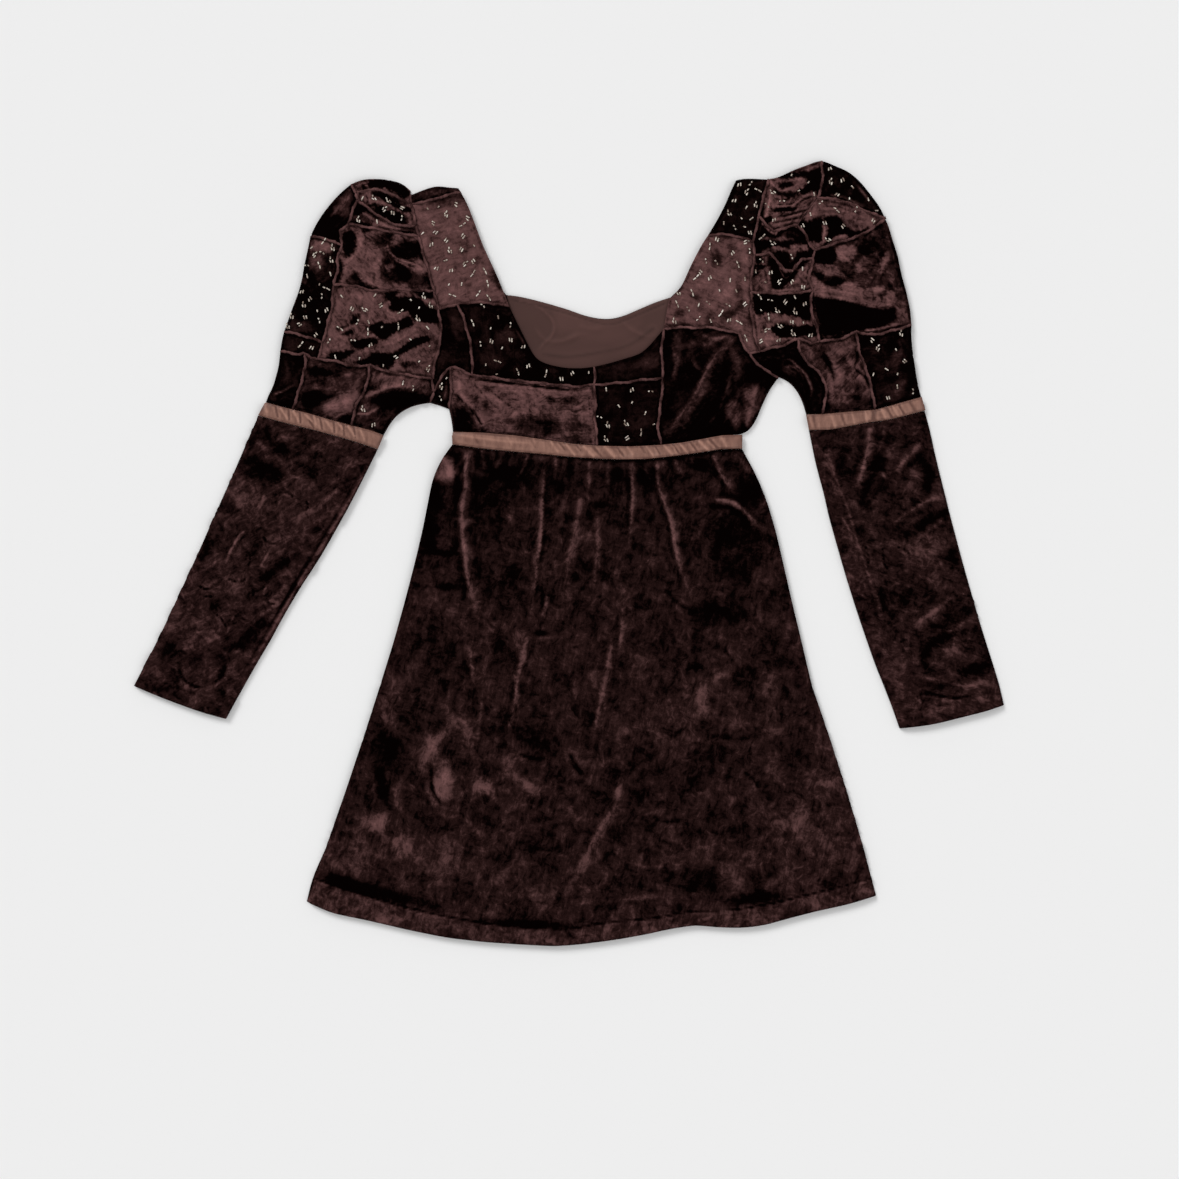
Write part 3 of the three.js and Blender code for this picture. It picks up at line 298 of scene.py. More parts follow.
def even_outline(outline, step):
    """The outline with points a step apart, eased between its corners."""
    before, after = outline - np.roll(outline, 1, 0), np.roll(outline, -1, 0) - outline
    turn = np.arctan2(after[:, 1], after[:, 0]) - np.arctan2(before[:, 1], before[:, 0])
    turn = np.degrees(np.abs((turn + np.pi) % (2 * np.pi) - np.pi))
    points, fixed = [], []
    for i, here in enumerate(outline):
        there = outline[(i + 1) % len(outline)]
        parts = max(1, round(np.hypot(*(there - here)) / step))
        for k in range(parts):
            points.append(here + (there - here) * k / parts)
            fixed.append(k == 0 and turn[i] > CORNER)
    points, fixed = np.array(points), np.array(fixed)
    for _ in range(14):
        eased = (np.roll(points, 1, 0) + np.roll(points, -1, 0)) / 2
        points = np.where(fixed[:, None], points, points * 0.5 + eased * 0.5)
    return points


def inside(outline, points):
    """Which of the points lie within the outline."""
    within = np.zeros(len(points), bool)
    x, y = points[:, 0], points[:, 1]
    for (ax, ay), (bx, by) in zip(outline, np.roll(outline, -1, 0)):
        if ay != by:
            crosses = ((ay > y) != (by > y)) & (x < (bx - ax) * (y - ay) / (by - ay) + ax)
            within ^= crosses
    return within


def off_outline(outline, points):
    """How far each point lies from the outline's nearest point."""
    tree = KDTree(len(outline))
    for i, (x, y) in enumerate(outline):
        tree.insert((x, y, 0), i)
    tree.balance()
    return np.array([tree.find((x, y, 0))[2] for x, y in points])


def fine_panel(node, step):
    """A panel's upper side as points and triangles a step apart, with its solid's heights."""
    outline, surface = read_solid(node)
    rim = even_outline(outline, step)
    low, high = rim.min(0), rim.max(0)
    row = step * math.sqrt(3) / 2
    columns, rows = np.meshgrid(np.arange(low[0], high[0], step), np.arange(low[1], high[1], row))
    columns = columns + (np.arange(len(rows)) % 2)[:, None] * step / 2
    lattice = np.column_stack([columns.ravel(), rows.ravel()])
    lattice = lattice[inside(rim, lattice)]
    lattice = lattice[off_outline(rim, lattice) > step * 0.62]
    plan = np.vstack([rim, lattice])
    ring = [(i, (i + 1) % len(rim)) for i in range(len(rim))]
    made = delaunay_2d_cdt([Vector(p) for p in plan], ring, [], 1, 1e-5, False)
    plan = np.array([tuple(p) for p in made[0]])
    triangles = np.array(made[2])
    triangles = triangles[inside(rim, plan[triangles].mean(axis=1))]
    heights = np.zeros(len(plan))
    for i, (x, y) in enumerate(plan):
        hit = surface.ray_cast(Vector((x, y, 100)), Vector((0, 0, -1)))[0]
        heights[i] = (hit or surface.find_nearest(Vector((x, y, 5)))[0]).z
    return {"plan": plan, "triangles": triangles, "height": heights, "rim": rim, "tone_and_painted_light": np.zeros(len(plan))}


def ease(panel, passes, share=0.6):
    """Smooths the heights, which takes the solid's facets out."""
    ends = np.vstack([panel["triangles"][:, pair] for pair in ([0, 1], [1, 2], [2, 0])])
    a, b = np.vstack([ends, ends[:, ::-1]]).T
    count = np.bincount(a, minlength=len(panel["plan"]))
    for _ in range(passes):
        mean = np.bincount(a, panel["height"][b], len(panel["plan"])) / count
        panel["height"] = panel["height"] * (1 - share) + mean * share


def off_path(path, plan):
    """Signed distance of each point from a path, left of it positive, and its share of the path's length."""
    best, side, along = np.full(len(plan), 1e9), np.zeros(len(plan)), np.zeros(len(plan))
    knots = np.array(path, float)
    lengths = np.hypot(*np.diff(knots, axis=0).T)
    walked = 0.0
    for a, b, length in zip(knots, knots[1:], lengths):
        way = (b - a) / length
        t = np.clip((plan - a) @ way, 0, length)
        gap = plan - a - t[:, None] * way
        off = np.hypot(*gap.T)
        nearer = off < best
        best = np.where(nearer, off, best)
        side = np.where(nearer, np.sign(way[0] * gap[:, 1] - way[1] * gap[:, 0]), side)
        along = np.where(nearer, walked + t, along)
        walked += length
    return best * np.where(side == 0, 1, side), along / lengths.sum()


def curved(path, parts=5):
    """A path rounded through its points."""
    knots = np.array(path, float)
    ends = np.vstack([2 * knots[0] - knots[1], knots, 2 * knots[-1] - knots[-2]])
    run = []
    for p, q, r, s in zip(ends, ends[1:], ends[2:], ends[3:]):
        squared, cubed = 2 * p - 5 * q + 4 * r - s, 3 * q - p - 3 * r + s
        for t in np.arange(parts) / parts:
            run.append(0.5 * (2 * q + (r - p) * t + squared * t**2 + cubed * t**3))
    return np.vstack([run, knots[-1]])


def crease(panel, path, width, rise, light=0.0, lean=0.0, fade=(0.15, 0.3)):
    """One soft ridge, or a trough where rise is negative, uneven along its length.

    width is half its breadth; light is painted light, a highlight along its crest and painted shade at its
    foot, or painted shade along it where light is negative;
    lean makes one side steeper; fade is how soon it rises from its start and how soon it runs out, as shares
    of its length."""
    off, along = off_path(curved(path), panel["plan"])
    near = np.abs(off) < width * 5
    off, along = off[near], along[near]
    wander = path[0][0] * 0.37 + path[0][1] * 0.21
    uneven = 1 + 0.22 * np.sin(along * 9 + wander) + 0.12 * np.sin(along * 23 + wander * 2)
    uneven += 0.08 * np.sin(along * 61 + wander * 3)
    grown = np.clip(along / fade[0], 0, 1) if fade[0] else 1.0
    gone = np.clip((1 - along) / fade[1], 0, 1) if fade[1] else 1.0
    strength = uneven * grown**1.5 * gone**1.5
    breadth = width * (1 + lean * np.sign(off)) * (0.8 + 0.2 * uneven)
    crest = np.exp(-((off / breadth) ** 2))
    foot = np.exp(-(((np.abs(off) - 2.1 * breadth) / breadth) ** 2))
    panel["height"][near] += rise * strength * (crest - 0.22 * foot)
    shown = np.clip(strength, 0, 1.3)
    flank = np.where(off * (1 if lean >= 0 else -1) > 0, breadth * (1.4 + 3 * abs(lean)), breadth * 0.7)
    # Painted light: a narrow bright core on the crest with a broad soft flank on one side, and painted shade
    # at the foot.
    painted_crest_light = 0.55 * np.exp(-((off / (breadth * 0.45)) ** 2)) + 0.45 * np.exp(-((off / flank) ** 2))
    panel["tone_and_painted_light"][near] += light * shown * (painted_crest_light - 0.25 * foot)


def stroke(panel, centre, size, turn, light):
    """A soft patch made lighter or darker: its centre, half sizes, turn in degrees and strength."""
    angle = math.radians(turn)
    away = panel["plan"] - np.array(centre, float)
    u = (away[:, 0] * math.cos(angle) + away[:, 1] * math.sin(angle)) / size[0]
    v = (away[:, 1] * math.cos(angle) - away[:, 0] * math.sin(angle)) / size[1]
    panel["tone_and_painted_light"] += light * np.exp(-((u * u + v * v) ** 1.5))


def brush(panel, outline, tone_and_painted_light, edge=1.9):
    """Lays the pile within an outline one way, its edge torn and soft; light pile stands higher."""
    rim = curved([*outline, outline[0]])
    near = np.all((panel["plan"] > rim.min(0) - 4) & (panel["plan"] < rim.max(0) + 4), axis=1)
    plan = panel["plan"][near]
    off = off_outline(rim, plan) * np.where(inside(rim, plan), 1, -1)
    x, y = plan.T
    torn = np.sin(x * 0.92 + y * 0.61) + 0.8 * np.sin(y * 1.37 - x * 0.43)
    torn += 0.6 * np.sin(x * 1.71 + y * 0.29)
    share = np.clip(0.5 + (off + 0.65 * torn) / (2 * edge), 0, 1)
    panel["height"][near] += 0.7 * (tone_and_painted_light - 0.35) * share
    panel["tone_and_painted_light"][near] += (tone_and_painted_light - panel["tone_and_painted_light"][near]) * share


def cloth_object(name, panels, finish, thickness=PILE_CLOTH):
    """One piece of cloth: the panels' shells with the given thickness, riding on the dress."""
    points, faces, tones_and_light = [], [], []
    for panel in panels:
        first = sum(len(run) for run in points)
        points.append(np.column_stack([panel["plan"], panel["height"]]) * MM)
        faces.extend((panel["triangles"] + first).tolist())
        tones_and_light.append(panel["tone_and_painted_light"])
    mesh = bpy.data.meshes.new(name)
    mesh.from_pydata(np.vstack(points).tolist(), [], faces)
    # Each point's tone, with its painted highlights and painted shade, goes onto the mesh as an attribute.
    tone_and_shading = mesh.attributes.new("tone_and_painted_light", "FLOAT", "POINT")
    tone_and_shading.data.foreach_set("value", np.hstack(tones_and_light).astype(np.float32))
    mesh.materials.append(finish)
    piece = bpy.data.objects.new(name, mesh)
    bpy.context.scene.collection.objects.link(piece)
    bpy.context.view_layer.objects.active = piece
    piece.select_set(True)
    bpy.ops.object.shade_smooth()
    wall = piece.modifiers.new("wall", "SOLIDIFY")
    wall.thickness = thickness * MM
    wall.offset = -1
    bpy.ops.object.modifier_apply(modifier=wall.name)
    bpy.ops.object.select_all(action="DESELECT")
    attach(piece, "root")
    return piece


BACK_STEP = 4.0  # millimetres between a panel's points
BACK_NAP = 0.24
BACK_CREASES = {
    "skirt_back": [
        ([(-110, 110), (-118, 40), (-126, -40)], 5, 0.5), ([(-40, 110), (-48, 30), (-70, -80)], 4, 0.45),
        ([(20, 105), (16, 20), (24, -60)], 5, 0.4), ([(80, 105), (92, 20), (110, -70)], 4, 0.5),
        ([(150, 112), (166, 50), (190, -20)], 5, 0.5),
        ([(-220, -240), (-120, -300), (-20, -310)], 9, 0.4),
        ([(90, -250), (160, -290), (240, -280)], 8, 0.4),
    ],
    "bodice_back": [
        ([(-120, 150), (-60, 190), (0, 240)], 5, 0.4), ([(180, 150), (140, 200), (110, 260)], 5, 0.4),
        ([(30, 140), (34, 200), (30, 262)], 4, 0.3),
    ],
    "puff_back_right": [
        ([(-180, 390), (-230, 370), (-280, 330)], 6, 0.5),
        ([(-170, 330), (-220, 300), (-300, 260)], 6, 0.5),
        ([(-180, 250), (-230, 220), (-300, 190)], 6, 0.4),
    ],
    "puff_back_left": [
        ([(240, 400), (290, 390), (340, 350)], 6, 0.5), ([(230, 330), (290, 310), (370, 270)], 6, 0.5),
        ([(240, 250), (300, 230), (370, 210)], 6, 0.4),
    ],
}

plain_velvet = velvet("plain_velvet", turn=14, mottle=0.7)


def lay_back(node):
    """A back panel, its underside on the floor but for its creases, which stand off it."""
    panel = fine_panel(node, BACK_STEP)
    panel["height"][:] = PILE_CLOTH
    panel["tone_and_painted_light"][:] = BACK_NAP
    for path, width, rise in BACK_CREASES.get(node, []):
        # Each back crease carries a painted highlight along its crest.
        crease(panel, path, width, rise, light=0.3)
    panel["height"] = np.maximum(panel["height"], PILE_CLOTH)
    return panel


for node in BACK_CREASES:
    panel = lay_back(node)
    piece = cloth_object(f"{node}_cloth", [panel], plain_velvet)
    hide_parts(node)

# ---------------------------------------------------------------- back neck lining
# A smooth woven lining faces the inside of the back bodice, and shows above the front neckline.
# It is cut in one with a curved seam near its middle, and turned in along the neck edge.

lining = bpy.data.materials.new("lining")
lining.use_nodes = True
tree = lining.node_tree
place = wire(tree, "ShaderNodeTexCoord").outputs["Object"]
threads = wire(tree, "ShaderNodeTexNoise", Vector=place, Scale=2200.0, Detail=2.0).outputs[0]
shade = wire(tree, "ShaderNodeTexNoise", Vector=place, Scale=14.0, Detail=2.0).outputs[0]
# The lining's colour mixes the weave's flecks, a broad soft shade and the tone attribute, which holds
# painted highlights on its creases and seam and painted shade along its turn-in and under the front bodice.
tone_and_shading = wire(tree, "ShaderNodeAttribute", {"attribute_name": "tone_and_painted_light"}).outputs["Fac"]
shine = weighed_sum(tree, (threads, 0.12), (shade, 0.9), (tone_and_shading, 1.0))
toned = blend_colours(tree, shine, (0.050, 0.0250, 0.0215, 1), (0.088, 0.0425, 0.0370, 1))
weave = wire(tree, "ShaderNodeBump", Strength=0.2, Distance=0.0003, Height=threads).outputs[0]
tree.links.new(toned, tree.nodes["Principled BSDF"].inputs["Base Color"])
tree.links.new(weave, tree.nodes["Principled BSDF"].inputs["Normal"])
tree.nodes["Principled BSDF"].inputs["Roughness"].default_value = 0.62
tree.nodes["Principled BSDF"].inputs["Specular IOR Level"].default_value = 0.1

LINING_STEP = 2.2
LINING_TONES = [
    # outline, shade, softness of its edge
    ([(-72, 296), (-48, 290), (-26, 272), (-18, 260), (-26, 246), (-42, 232), (-60, 240), (-70, 270)],
     -0.16, 5),
    ([(-16, 284), (20, 270), (60, 268), (82, 266), (70, 250), (48, 244), (20, 246), (0, 252), (-16, 262)],
     0.3, 6),
    ([(84, 284), (104, 288), (106, 262), (90, 246), (80, 250), (88, 268)], -0.1, 5),
]
LINING_SEAM = [(-56, 290), (-40, 286), (-24, 274), (-17, 262), (-20, 250), (-30, 240), (-38, 230)]
LINING_CREASES = [
    # path, half breadth, rise, light (a painted highlight on the crest, painted shade where negative)
    ([(-40, 262), (-28, 246), (-8, 244), (14, 252), (30, 250)], 2.4, 0.7, 0.35),
    ([(60, 268), (74, 256), (90, 250), (102, 252)], 2.6, 0.7, 0.35),
    ([(10, 262), (30, 258), (44, 262)], 3, 0.5, 0.3),
]
# Painted shade along the turned-in neck edge, and a painted shadow where the lining runs under the front
# bodice.
LINING_TURN_IN = [(-66, 291), (-40, 286), (0, 275), (37, 264), (50, 263.5), (62, 267), (110, 287)]
LINING_SHADE_UNDER_FRONT = [(-30, 229), (0, 226), (40, 232), (70, 240), (96, 258)]

panel = fine_panel("back_lining", LINING_STEP)
for outline, shade, edge in LINING_TONES:
    brush(panel, outline, shade, edge)
# A painted highlight along the seam and the crests of the creases; painted shade in the turn-in and under
# the front bodice.
crease(panel, LINING_SEAM, 1.5, 0.7, 0.5, fade=(0, 0.1))
for path, width, rise, light in LINING_CREASES:
    crease(panel, path, width, rise, light)
crease(panel, LINING_TURN_IN, 1.2, -0.4, -0.5, fade=(0, 0))
crease(panel, LINING_SHADE_UNDER_FRONT, 2.2, 0.3, -0.4, fade=(0, 0))
piece = cloth_object("back_lining_cloth", [panel], lining, LINING_CLOTH)
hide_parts("back_lining")

# ---------------------------------------------------------------- skirt front
# One flared panel of plain velvet, gathered into the waist seam, with its sides seamed to the back.
# Its folds fall from the gathers; the hem is turned up and stitched about 20 mm above the edge.

CLOSED_EDGE = 5.2  # where a front panel's edge lies no higher than this, it is seamed to the back
FLOOR_EDGE = 1.15  # and there its upper side comes down to this height
EDGE_TURN = 3.2  # within this distance


def turn_down(panel):
    """Rounds a front panel down to the back along the edges where the two are seamed."""
    rim = panel["rim"]
    tree = KDTree(len(panel["plan"]))
    for i, (x, y) in enumerate(panel["plan"]):
        tree.insert((x, y, 0), i)
    tree.balance()
    nearest = [tree.find((x, y, 0))[1] for x, y in rim]
    closed = rim[panel["height"][nearest] < CLOSED_EDGE]
    if len(closed) == 0:
        return
    off = np.clip(off_outline(closed, panel["plan"]) / EDGE_TURN, 0, 1)
    share = np.sqrt(1 - (1 - off) ** 2)
    panel["height"] = FLOOR_EDGE + (panel["height"] - FLOOR_EDGE) * share


SKIRT_RIDGES = [
    # path, half breadth, rise, light (a painted highlight on the crest, painted shade where negative), lean
    ([(-118, 120), (-119, 80), (-123, 55), (-122, 20), (-119, -5), (-116, -30), (-109, -58), (-101, -90)],
     4.6, 1.6, 1.0, 0.2),
    ([(-114, -106), (-112, -130), (-107, -158)], 3.6, 0.8, 0.75, 0.2),
    ([(-28, 100), (-30, 60), (-32, 20), (-36, -10), (-40, -45), (-45, -84)], 2.4, 1.6, 0.85, -0.3),
    ([(-48, -94), (-56, -130), (-64, -178), (-72, -216)], 3.0, 0.8, 0.62, 0.2),
    ([(-24, -48), (-28, -64), (-34, -78)], 2.2, 0.8, 0.5, 0.0),
    ([(14, 66), (9, 40), (4, 15), (0, -5), (-3, -30), (-2, -52)], 5.0, 1.0, 0.55, 0.2),
    ([(24, 111), (23, 90), (25, 70)], 2.6, 1.0, 0.45, 0.0),
    ([(33, 46), (33, 10), (31, -15), (26, -50)], 4.0, 1.0, 0.5, 0.0),
    ([(70, 109), (72, 80), (72, 50), (69, 20), (65, -6)], 2.8, 1.5, 0.8, 0.3),
    ([(64, 80), (62, 50), (58, 20)], 3.0, 0.6, 0.2, 0.0),
    ([(101, 109), (102, 80), (109, 58), (117, 35), (122, 5), (130, -25), (138, -45), (145, -66)],
     3.2, 1.7, 1.0, 0.3),
    ([(121, 109), (126, 97), (134, 85)], 3.4, 0.9, 0.5, 0.0),
    ([(138, 111), (144, 103), (152, 96)], 3.0, 0.9, 0.4, 0.0),
    ([(165, 113), (172, 96), (180, 82), (191, 68)], 3.6, 1.5, 0.9, 0.3),
    ([(166, 62), (184, 60), (198, 52), (208, 42), (224, 28)], 3.8, 1.7, 1.0, -0.3),
    ([(160, 54), (182, 53), (198, 43), (208, 30)], 3.4, -0.8, -0.7, 0.0),
    ([(190, 114), (201, 102), (212, 86)], 5.0, 1.2, 0.45, 0.0),
    ([(-47, 115), (-51, 102), (-57, 91), (-66, 86)], 2.6, 1.0, 0.6, 0.0),
    ([(-16, 113), (-15, 100), (-16, 88)], 2.4, 0.8, 0.55, 0.0),
    ([(-4, 112), (-4, 100), (-6, 88)], 2.2, 0.7, 0.3, 0.0),
    ([(8, 111), (8, 98), (6, 86)], 2.4, 0.7, 0.3, 0.0),
    ([(-76, 117), (-80, 104), (-90, 96)], 3.0, 0.8, 0.35, 0.0),
    ([(-100, 119), (-99, 106), (-96, 92)], 2.8, 0.8, 0.4, 0.0),
    ([(-88, 118), (-86, 106), (-88, 98)], 2.2, 0.7, 0.35, 0.0),
    ([(46, 107), (44, 92), (46, 74)], 2.6, 0.7, 0.35, 0.0),
    ([(86, 107), (89, 92), (94, 78)], 2.6, 0.7, 0.3, 0.0),
    ([(-147, 112), (-139, 102), (-138, 90), (-146, 84)], 4.4, 1.6, 0.6, 0.0),
    ([(-70, 78), (-68, 50), (-70, 20)], 3.4, 0.6, 0.3, 0.0),
    ([(-128, 84), (-131, 96), (-128, 112)], 1.8, -0.6, -0.7, 0.0),
    ([(-100, -168), (-102, -192), (-107, -216)], 2.4, 0.6, 0.5, 0.0),
    ([(-82, -196), (-84, -218), (-88, -240)], 2.4, 0.5, 0.3, 0.0),
    ([(-62, -136), (-60, -164), (-57, -194)], 2.4, 0.6, 0.5, 0.0),
    ([(-132, -192), (-148, -212), (-164, -234), (-178, -262)], 6.0, 0.8, 0.4, 0.0),
    ([(-158, -246), (-157, -270), (-149, -285), (-137, -294)], 2.2, -1.0, -0.95, 0.0),
    ([(-200, -268), (-197, -288), (-185, -302)], 3.0, 0.6, 0.35, 0.0),
    ([(-90, -272), (-82, -286), (-76, -300)], 4.0, 0.6, 0.3, 0.0),
    ([(48, -104), (42, -140), (34, -180), (22, -222)], 3.6, 0.9, 0.56, 0.2),
    ([(62, -60), (60, -96), (55, -130)], 2.6, 0.6, 0.5, 0.0),
    ([(-58, -230), (-40, -236), (-20, -232)], 2.2, -0.6, -0.4, 0.0),
    ([(90, -300), (112, -308), (140, -304)], 2.4, -0.6, -0.4, 0.0),
    ([(60, -352), (90, -360), (130, -358), (160, -364)], 3.0, 0.5, 0.25, 0.0),
    ([(10, -402), (60, -398), (120, -392)], 2.6, 0.6, 0.25, 0.0),
    ([(200, -250), (214, -262), (220, -280)], 2.6, -0.6, -0.4, 0.0),
    ([(-130, -300), (-112, -312), (-96, -330)], 3.0, 0.5, 0.3, 0.0),
    ([(170, -210), (196, -214), (222, -206)], 3.0, -0.5, -0.35, 0.0),
    ([(-60, -330), (-30, -340), (0, -336)], 2.6, -0.5, -0.3, 0.0),
    ([(110, -40), (128, -60), (150, -66)], 2.6, -0.6, -0.35, 0.0),
    ([(-90, -10), (-70, -16), (-52, -8)], 2.4, -0.5, -0.3, 0.0),
    ([(58, -254), (55, -282), (46, -300), (37, -314), (20, -346), (0, -382)], 5.6, 1.2, 0.62, 0.2),
    ([(1, -230), (8, -245), (20, -258)], 2.8, -1.0, -0.95, 0.0),
    ([(128, -90), (134, -140), (130, -200)], 6.0, 0.5, 0.15, 0.0),
    ([(236, -262), (244, -276), (232, -300)], 3.0, -0.6, -0.4, 0.0),
    ([(-40, -91), (-30, -92), (-20, -92)], 3.0, -0.5, -0.6, 0.0),
    ([(-31, -44), (-31, -58), (-33, -70)], 1.6, -0.6, -0.6, 0.0),
]
SKIRT_STROKES = [
    # centre, half sizes, turn, light
    ((-144, -262), (10, 24), -8, 0.8), ((-98, -267), (12, 10), -30, 0.75), ((-42, -272), (13, 7), -35, 0.4),
    ((-156, -226), (9, 20), -24, 0.24), ((-120, -206), (9, 22), 8, 0.2), ((-192, -334), (12, 20), 24, 0.3),
    ((-66, -242), (12, 26), -6, 0.24), ((-206, -180), (12, 26), -12, 0.2), ((-96, -110), (9, 40), -6, 0.16),
    ((40, -150), (8, 50), -8, 0.14), ((-60, -120), (8, 36), -10, 0.14), ((96, -20), (7, 40), 8, 0.12),
    ((-219, -310), (14, 14), 0, 0.62), ((-158, -214), (12, 10), 40, 0.3), ((154, -165), (9, 24), 3, 0.42),
    ((-142, 94), (13, 12), 30, 0.75), ((60, -30), (8, 40), 5, 0.2), ((-5, -44), (10, 14), 0, 0.2),
    ((268, -320), (46, 44), -20, 0.2), ((292, -262), (20, 16), 0, 0.25), ((230, -158), (10, 24), 0, 0.28),
    ((170, -140), (14, 10), 0, 0.2), ((-180, 340), (60, 40), 0, 0.0), ((120, -200), (30, 60), 10, 0.1),
    ((-238, -350), (46, 18), 15, 0.2), ((-150, -352), (36, 20), -30, 0.14), ((0, 20), (60, 70), 0, 0.06),
    ((-75, 92), (18, 9), 0, -0.5), ((150, 102), (12, 7), 0, -0.5), ((208, 68), (14, 11), -40, -0.5),
    ((-158, 40), (12, 40), -8, -0.3), ((-92, 40), (16, 60), 0, -0.14), ((86, 90), (10, 16), 0, -0.3),
    ((56, 92), (8, 14), 0, -0.3), ((-150, 1), (26, 3), -3, -0.4), ((-140, -38), (16, 4), 0, -0.4),
    ((188, 0), (26, 60), 0, -0.18), ((170, -70), (30, 16), -20, -0.25), ((-204, -224), (18, 22), 30, -0.4),
    ((-214, -266), (7, 26), 10, -0.45), ((212, -396), (34, 6), 6, -0.55),
    ((-222, -388), (52, 8), -14, -0.5),
    ((-262, -376), (24, 8), -20, -0.5), ((-60, -425), (70, 5), -3, -0.45), ((150, -372), (26, 18), 0, -0.3),
    ((130, -250), (40, 26), 0, -0.14), ((-30, -200), (30, 40), 0, -0.12), ((80, -290), (30, 40), 0, -0.1),
]
WAIST_EDGE = [
    (-150, 128), (-126, 125), (-62, 120), (-22, 114), (26, 109), (60, 108), (90, 108), (124, 111),
    (164, 117),
    (184, 120), (205, 124),
]
HEM_STITCHES = [
    (-296, -372), (-240, -390), (-180, -408), (-100, -424), (-40, -430), (0, -431), (40, -424), (100, -418),
    (140, -411), (190, -409), (240, -400), (290, -388), (348, -373),
]

SKIRT_STEP = 2.7
RIDGE_LIGHT = 0.72  # the share of its light that a ridge keeps on the skirt
skirt_panel = fine_panel("skirt_front", SKIRT_STEP)
ease(skirt_panel, 14)
down_skirt = skirt_panel["plan"][:, 1]
skirt_panel["tone_and_painted_light"][:] = 0.2 + 0.08 * np.clip(-down_skirt / 400, 0, 1)
skirt_panel["tone_and_painted_light"] -= 0.09 * np.clip((down_skirt - 10) / 90, 0, 1)
for path, width, rise, light, lean in SKIRT_RIDGES:
    crease(skirt_panel, path, width, rise, light * RIDGE_LIGHT, lean, fade=(0.04, 0.3))
for centre, size, turn, light in SKIRT_STROKES:
    stroke(skirt_panel, centre, size, turn, light)
# Painted shade along the skirt's top edge under the waist ribbon, and in the stitched groove above the hem.
crease(skirt_panel, WAIST_EDGE, 3.6, 0, -0.45, fade=(0, 0))
crease(skirt_panel, HEM_STITCHES, 1.1, -0.9, -0.4, fade=(0, 0))
off, along = off_path(HEM_STITCHES, skirt_panel["plan"])
skirt_panel["tone_and_painted_light"] += 0.16 * np.clip(-off / 3, 0, 1)
turn_down(skirt_panel)
piece = cloth_object("skirt_front_cloth", [skirt_panel], plain_velvet)
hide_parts("skirt_front")

# ---------------------------------------------------------------- front patches
# The bodice and the puffs are patchwork: velvets laid dark, brown or mauve, each patch with its own
# lie of pile and its own creases, seamed to the next with the raw edges rolled to the right side.

PATCHES = {
    # node: nap, mottle, contrast, turn of the nap, record slot
    "shoulder_right": (0.32, 0.5, 1.4, 20, "velvet_dark"),
    "strap_right": (0.78, 0.34, 1.25, 70, "velvet_mauve"),
    "side_front_right": (0.08, 0.4, 1.1, 100, "velvet_dark"),
    "bust_right": (0.06, 0.4, 1.1, 0, "velvet_dark"),
    "midriff_right": (0.65, 0.6, 1.4, 90, "velvet_mauve"),
    "gusset_right": (0.14, 0.45, 1.3, 30, "velvet_dark"),
    "bust_centre": (0.08, 0.35, 1.0, 60, "velvet_dark"),
    "midriff_centre": (0.02, 0.35, 1.0, 90, "velvet_dark"),
    "side_front_left": (0.11, 0.42, 1.4, 60, "velvet_brown"),
    "strap_left": (0.70, 0.34, 1.4, 110, "velvet_mauve"),
    "shoulder_left": (0.04, 0.35, 1.0, 80, "velvet_dark"),
    "puff_cap_side_right": (0.2, 0.4, 1.5, 40, "velvet_dark"),
    "puff_outer_right": (0.13, 0.42, 1.4, 85, "velvet_dark"),
    "puff_strip_right": (0.12, 0.35, 1.3, 10, "velvet_dark"),
    "puff_middle_right": (0.68, 0.44, 1.8, 120, "velvet_brown"),
    "puff_front_right": (0.63, 0.34, 1.8, 150, "velvet_mauve"),
    "puff_cap_top_right": (0.58, 0.42, 1.9, 15, "velvet_dark"),
    "puff_gather_right": (0.58, 0.34, 1.9, 160, "velvet_brown"),
    "puff_wedge_right": (0.46, 0.42, 1.9, 20, "velvet_dark"),
    "band_outer_right": (0.12, 0.36, 1.3, 90, "velvet_dark"),
    "band_middle_right": (0.38, 0.4, 1.5, 75, "velvet_brown"),
    "band_inner_right": (0.34, 0.4, 1.7, 30, "velvet_brown"),
    "puff_cap_top_left": (0.58, 0.34, 2.0, 30, "velvet_dark"),
    "puff_cap_side_left": (0.10, 0.35, 1.3, 60, "velvet_dark"),
    "puff_fold_left": (0.62, 0.3, 1.9, 10, "velvet_brown"),
    "puff_outer_left": (0.35, 0.42, 1.9, 100, "velvet_dark"),
    "puff_gather_top_left": (0.12, 0.34, 2.0, 0, "velvet_dark"),
    "puff_gather_left": (0.58, 0.34, 2.0, 50, "velvet_dark"),
    "puff_front_left": (0.60, 0.36, 2.0, 170, "velvet_dark"),
    "band_outer_left": (0.13, 0.36, 1.4, 80, "velvet_dark"),
    "band_middle_left": (0.47, 0.5, 1.6, 50, "velvet_mauve"),
    "band_inner_left": (0.14, 0.34, 1.6, 120, "velvet_dark"),
}
ARMHOLE_RIDGE = ([(232, 418), (229, 400), (225, 385), (219, 372), (217, 360)], 1.7, 1.3, 0.5)
GATHER_FOLD = [
    ([(218, 345), (228, 344), (238, 340), (243, 330), (249, 322), (256, 325), (262, 333), (270, 338),
      (278, 338)], 1.7, 1.4, 0.45),
    ([(222, 339), (232, 338), (239, 330), (246, 316), (252, 317), (260, 327), (270, 333)],
     1.3, 1.0, 0.4),
]
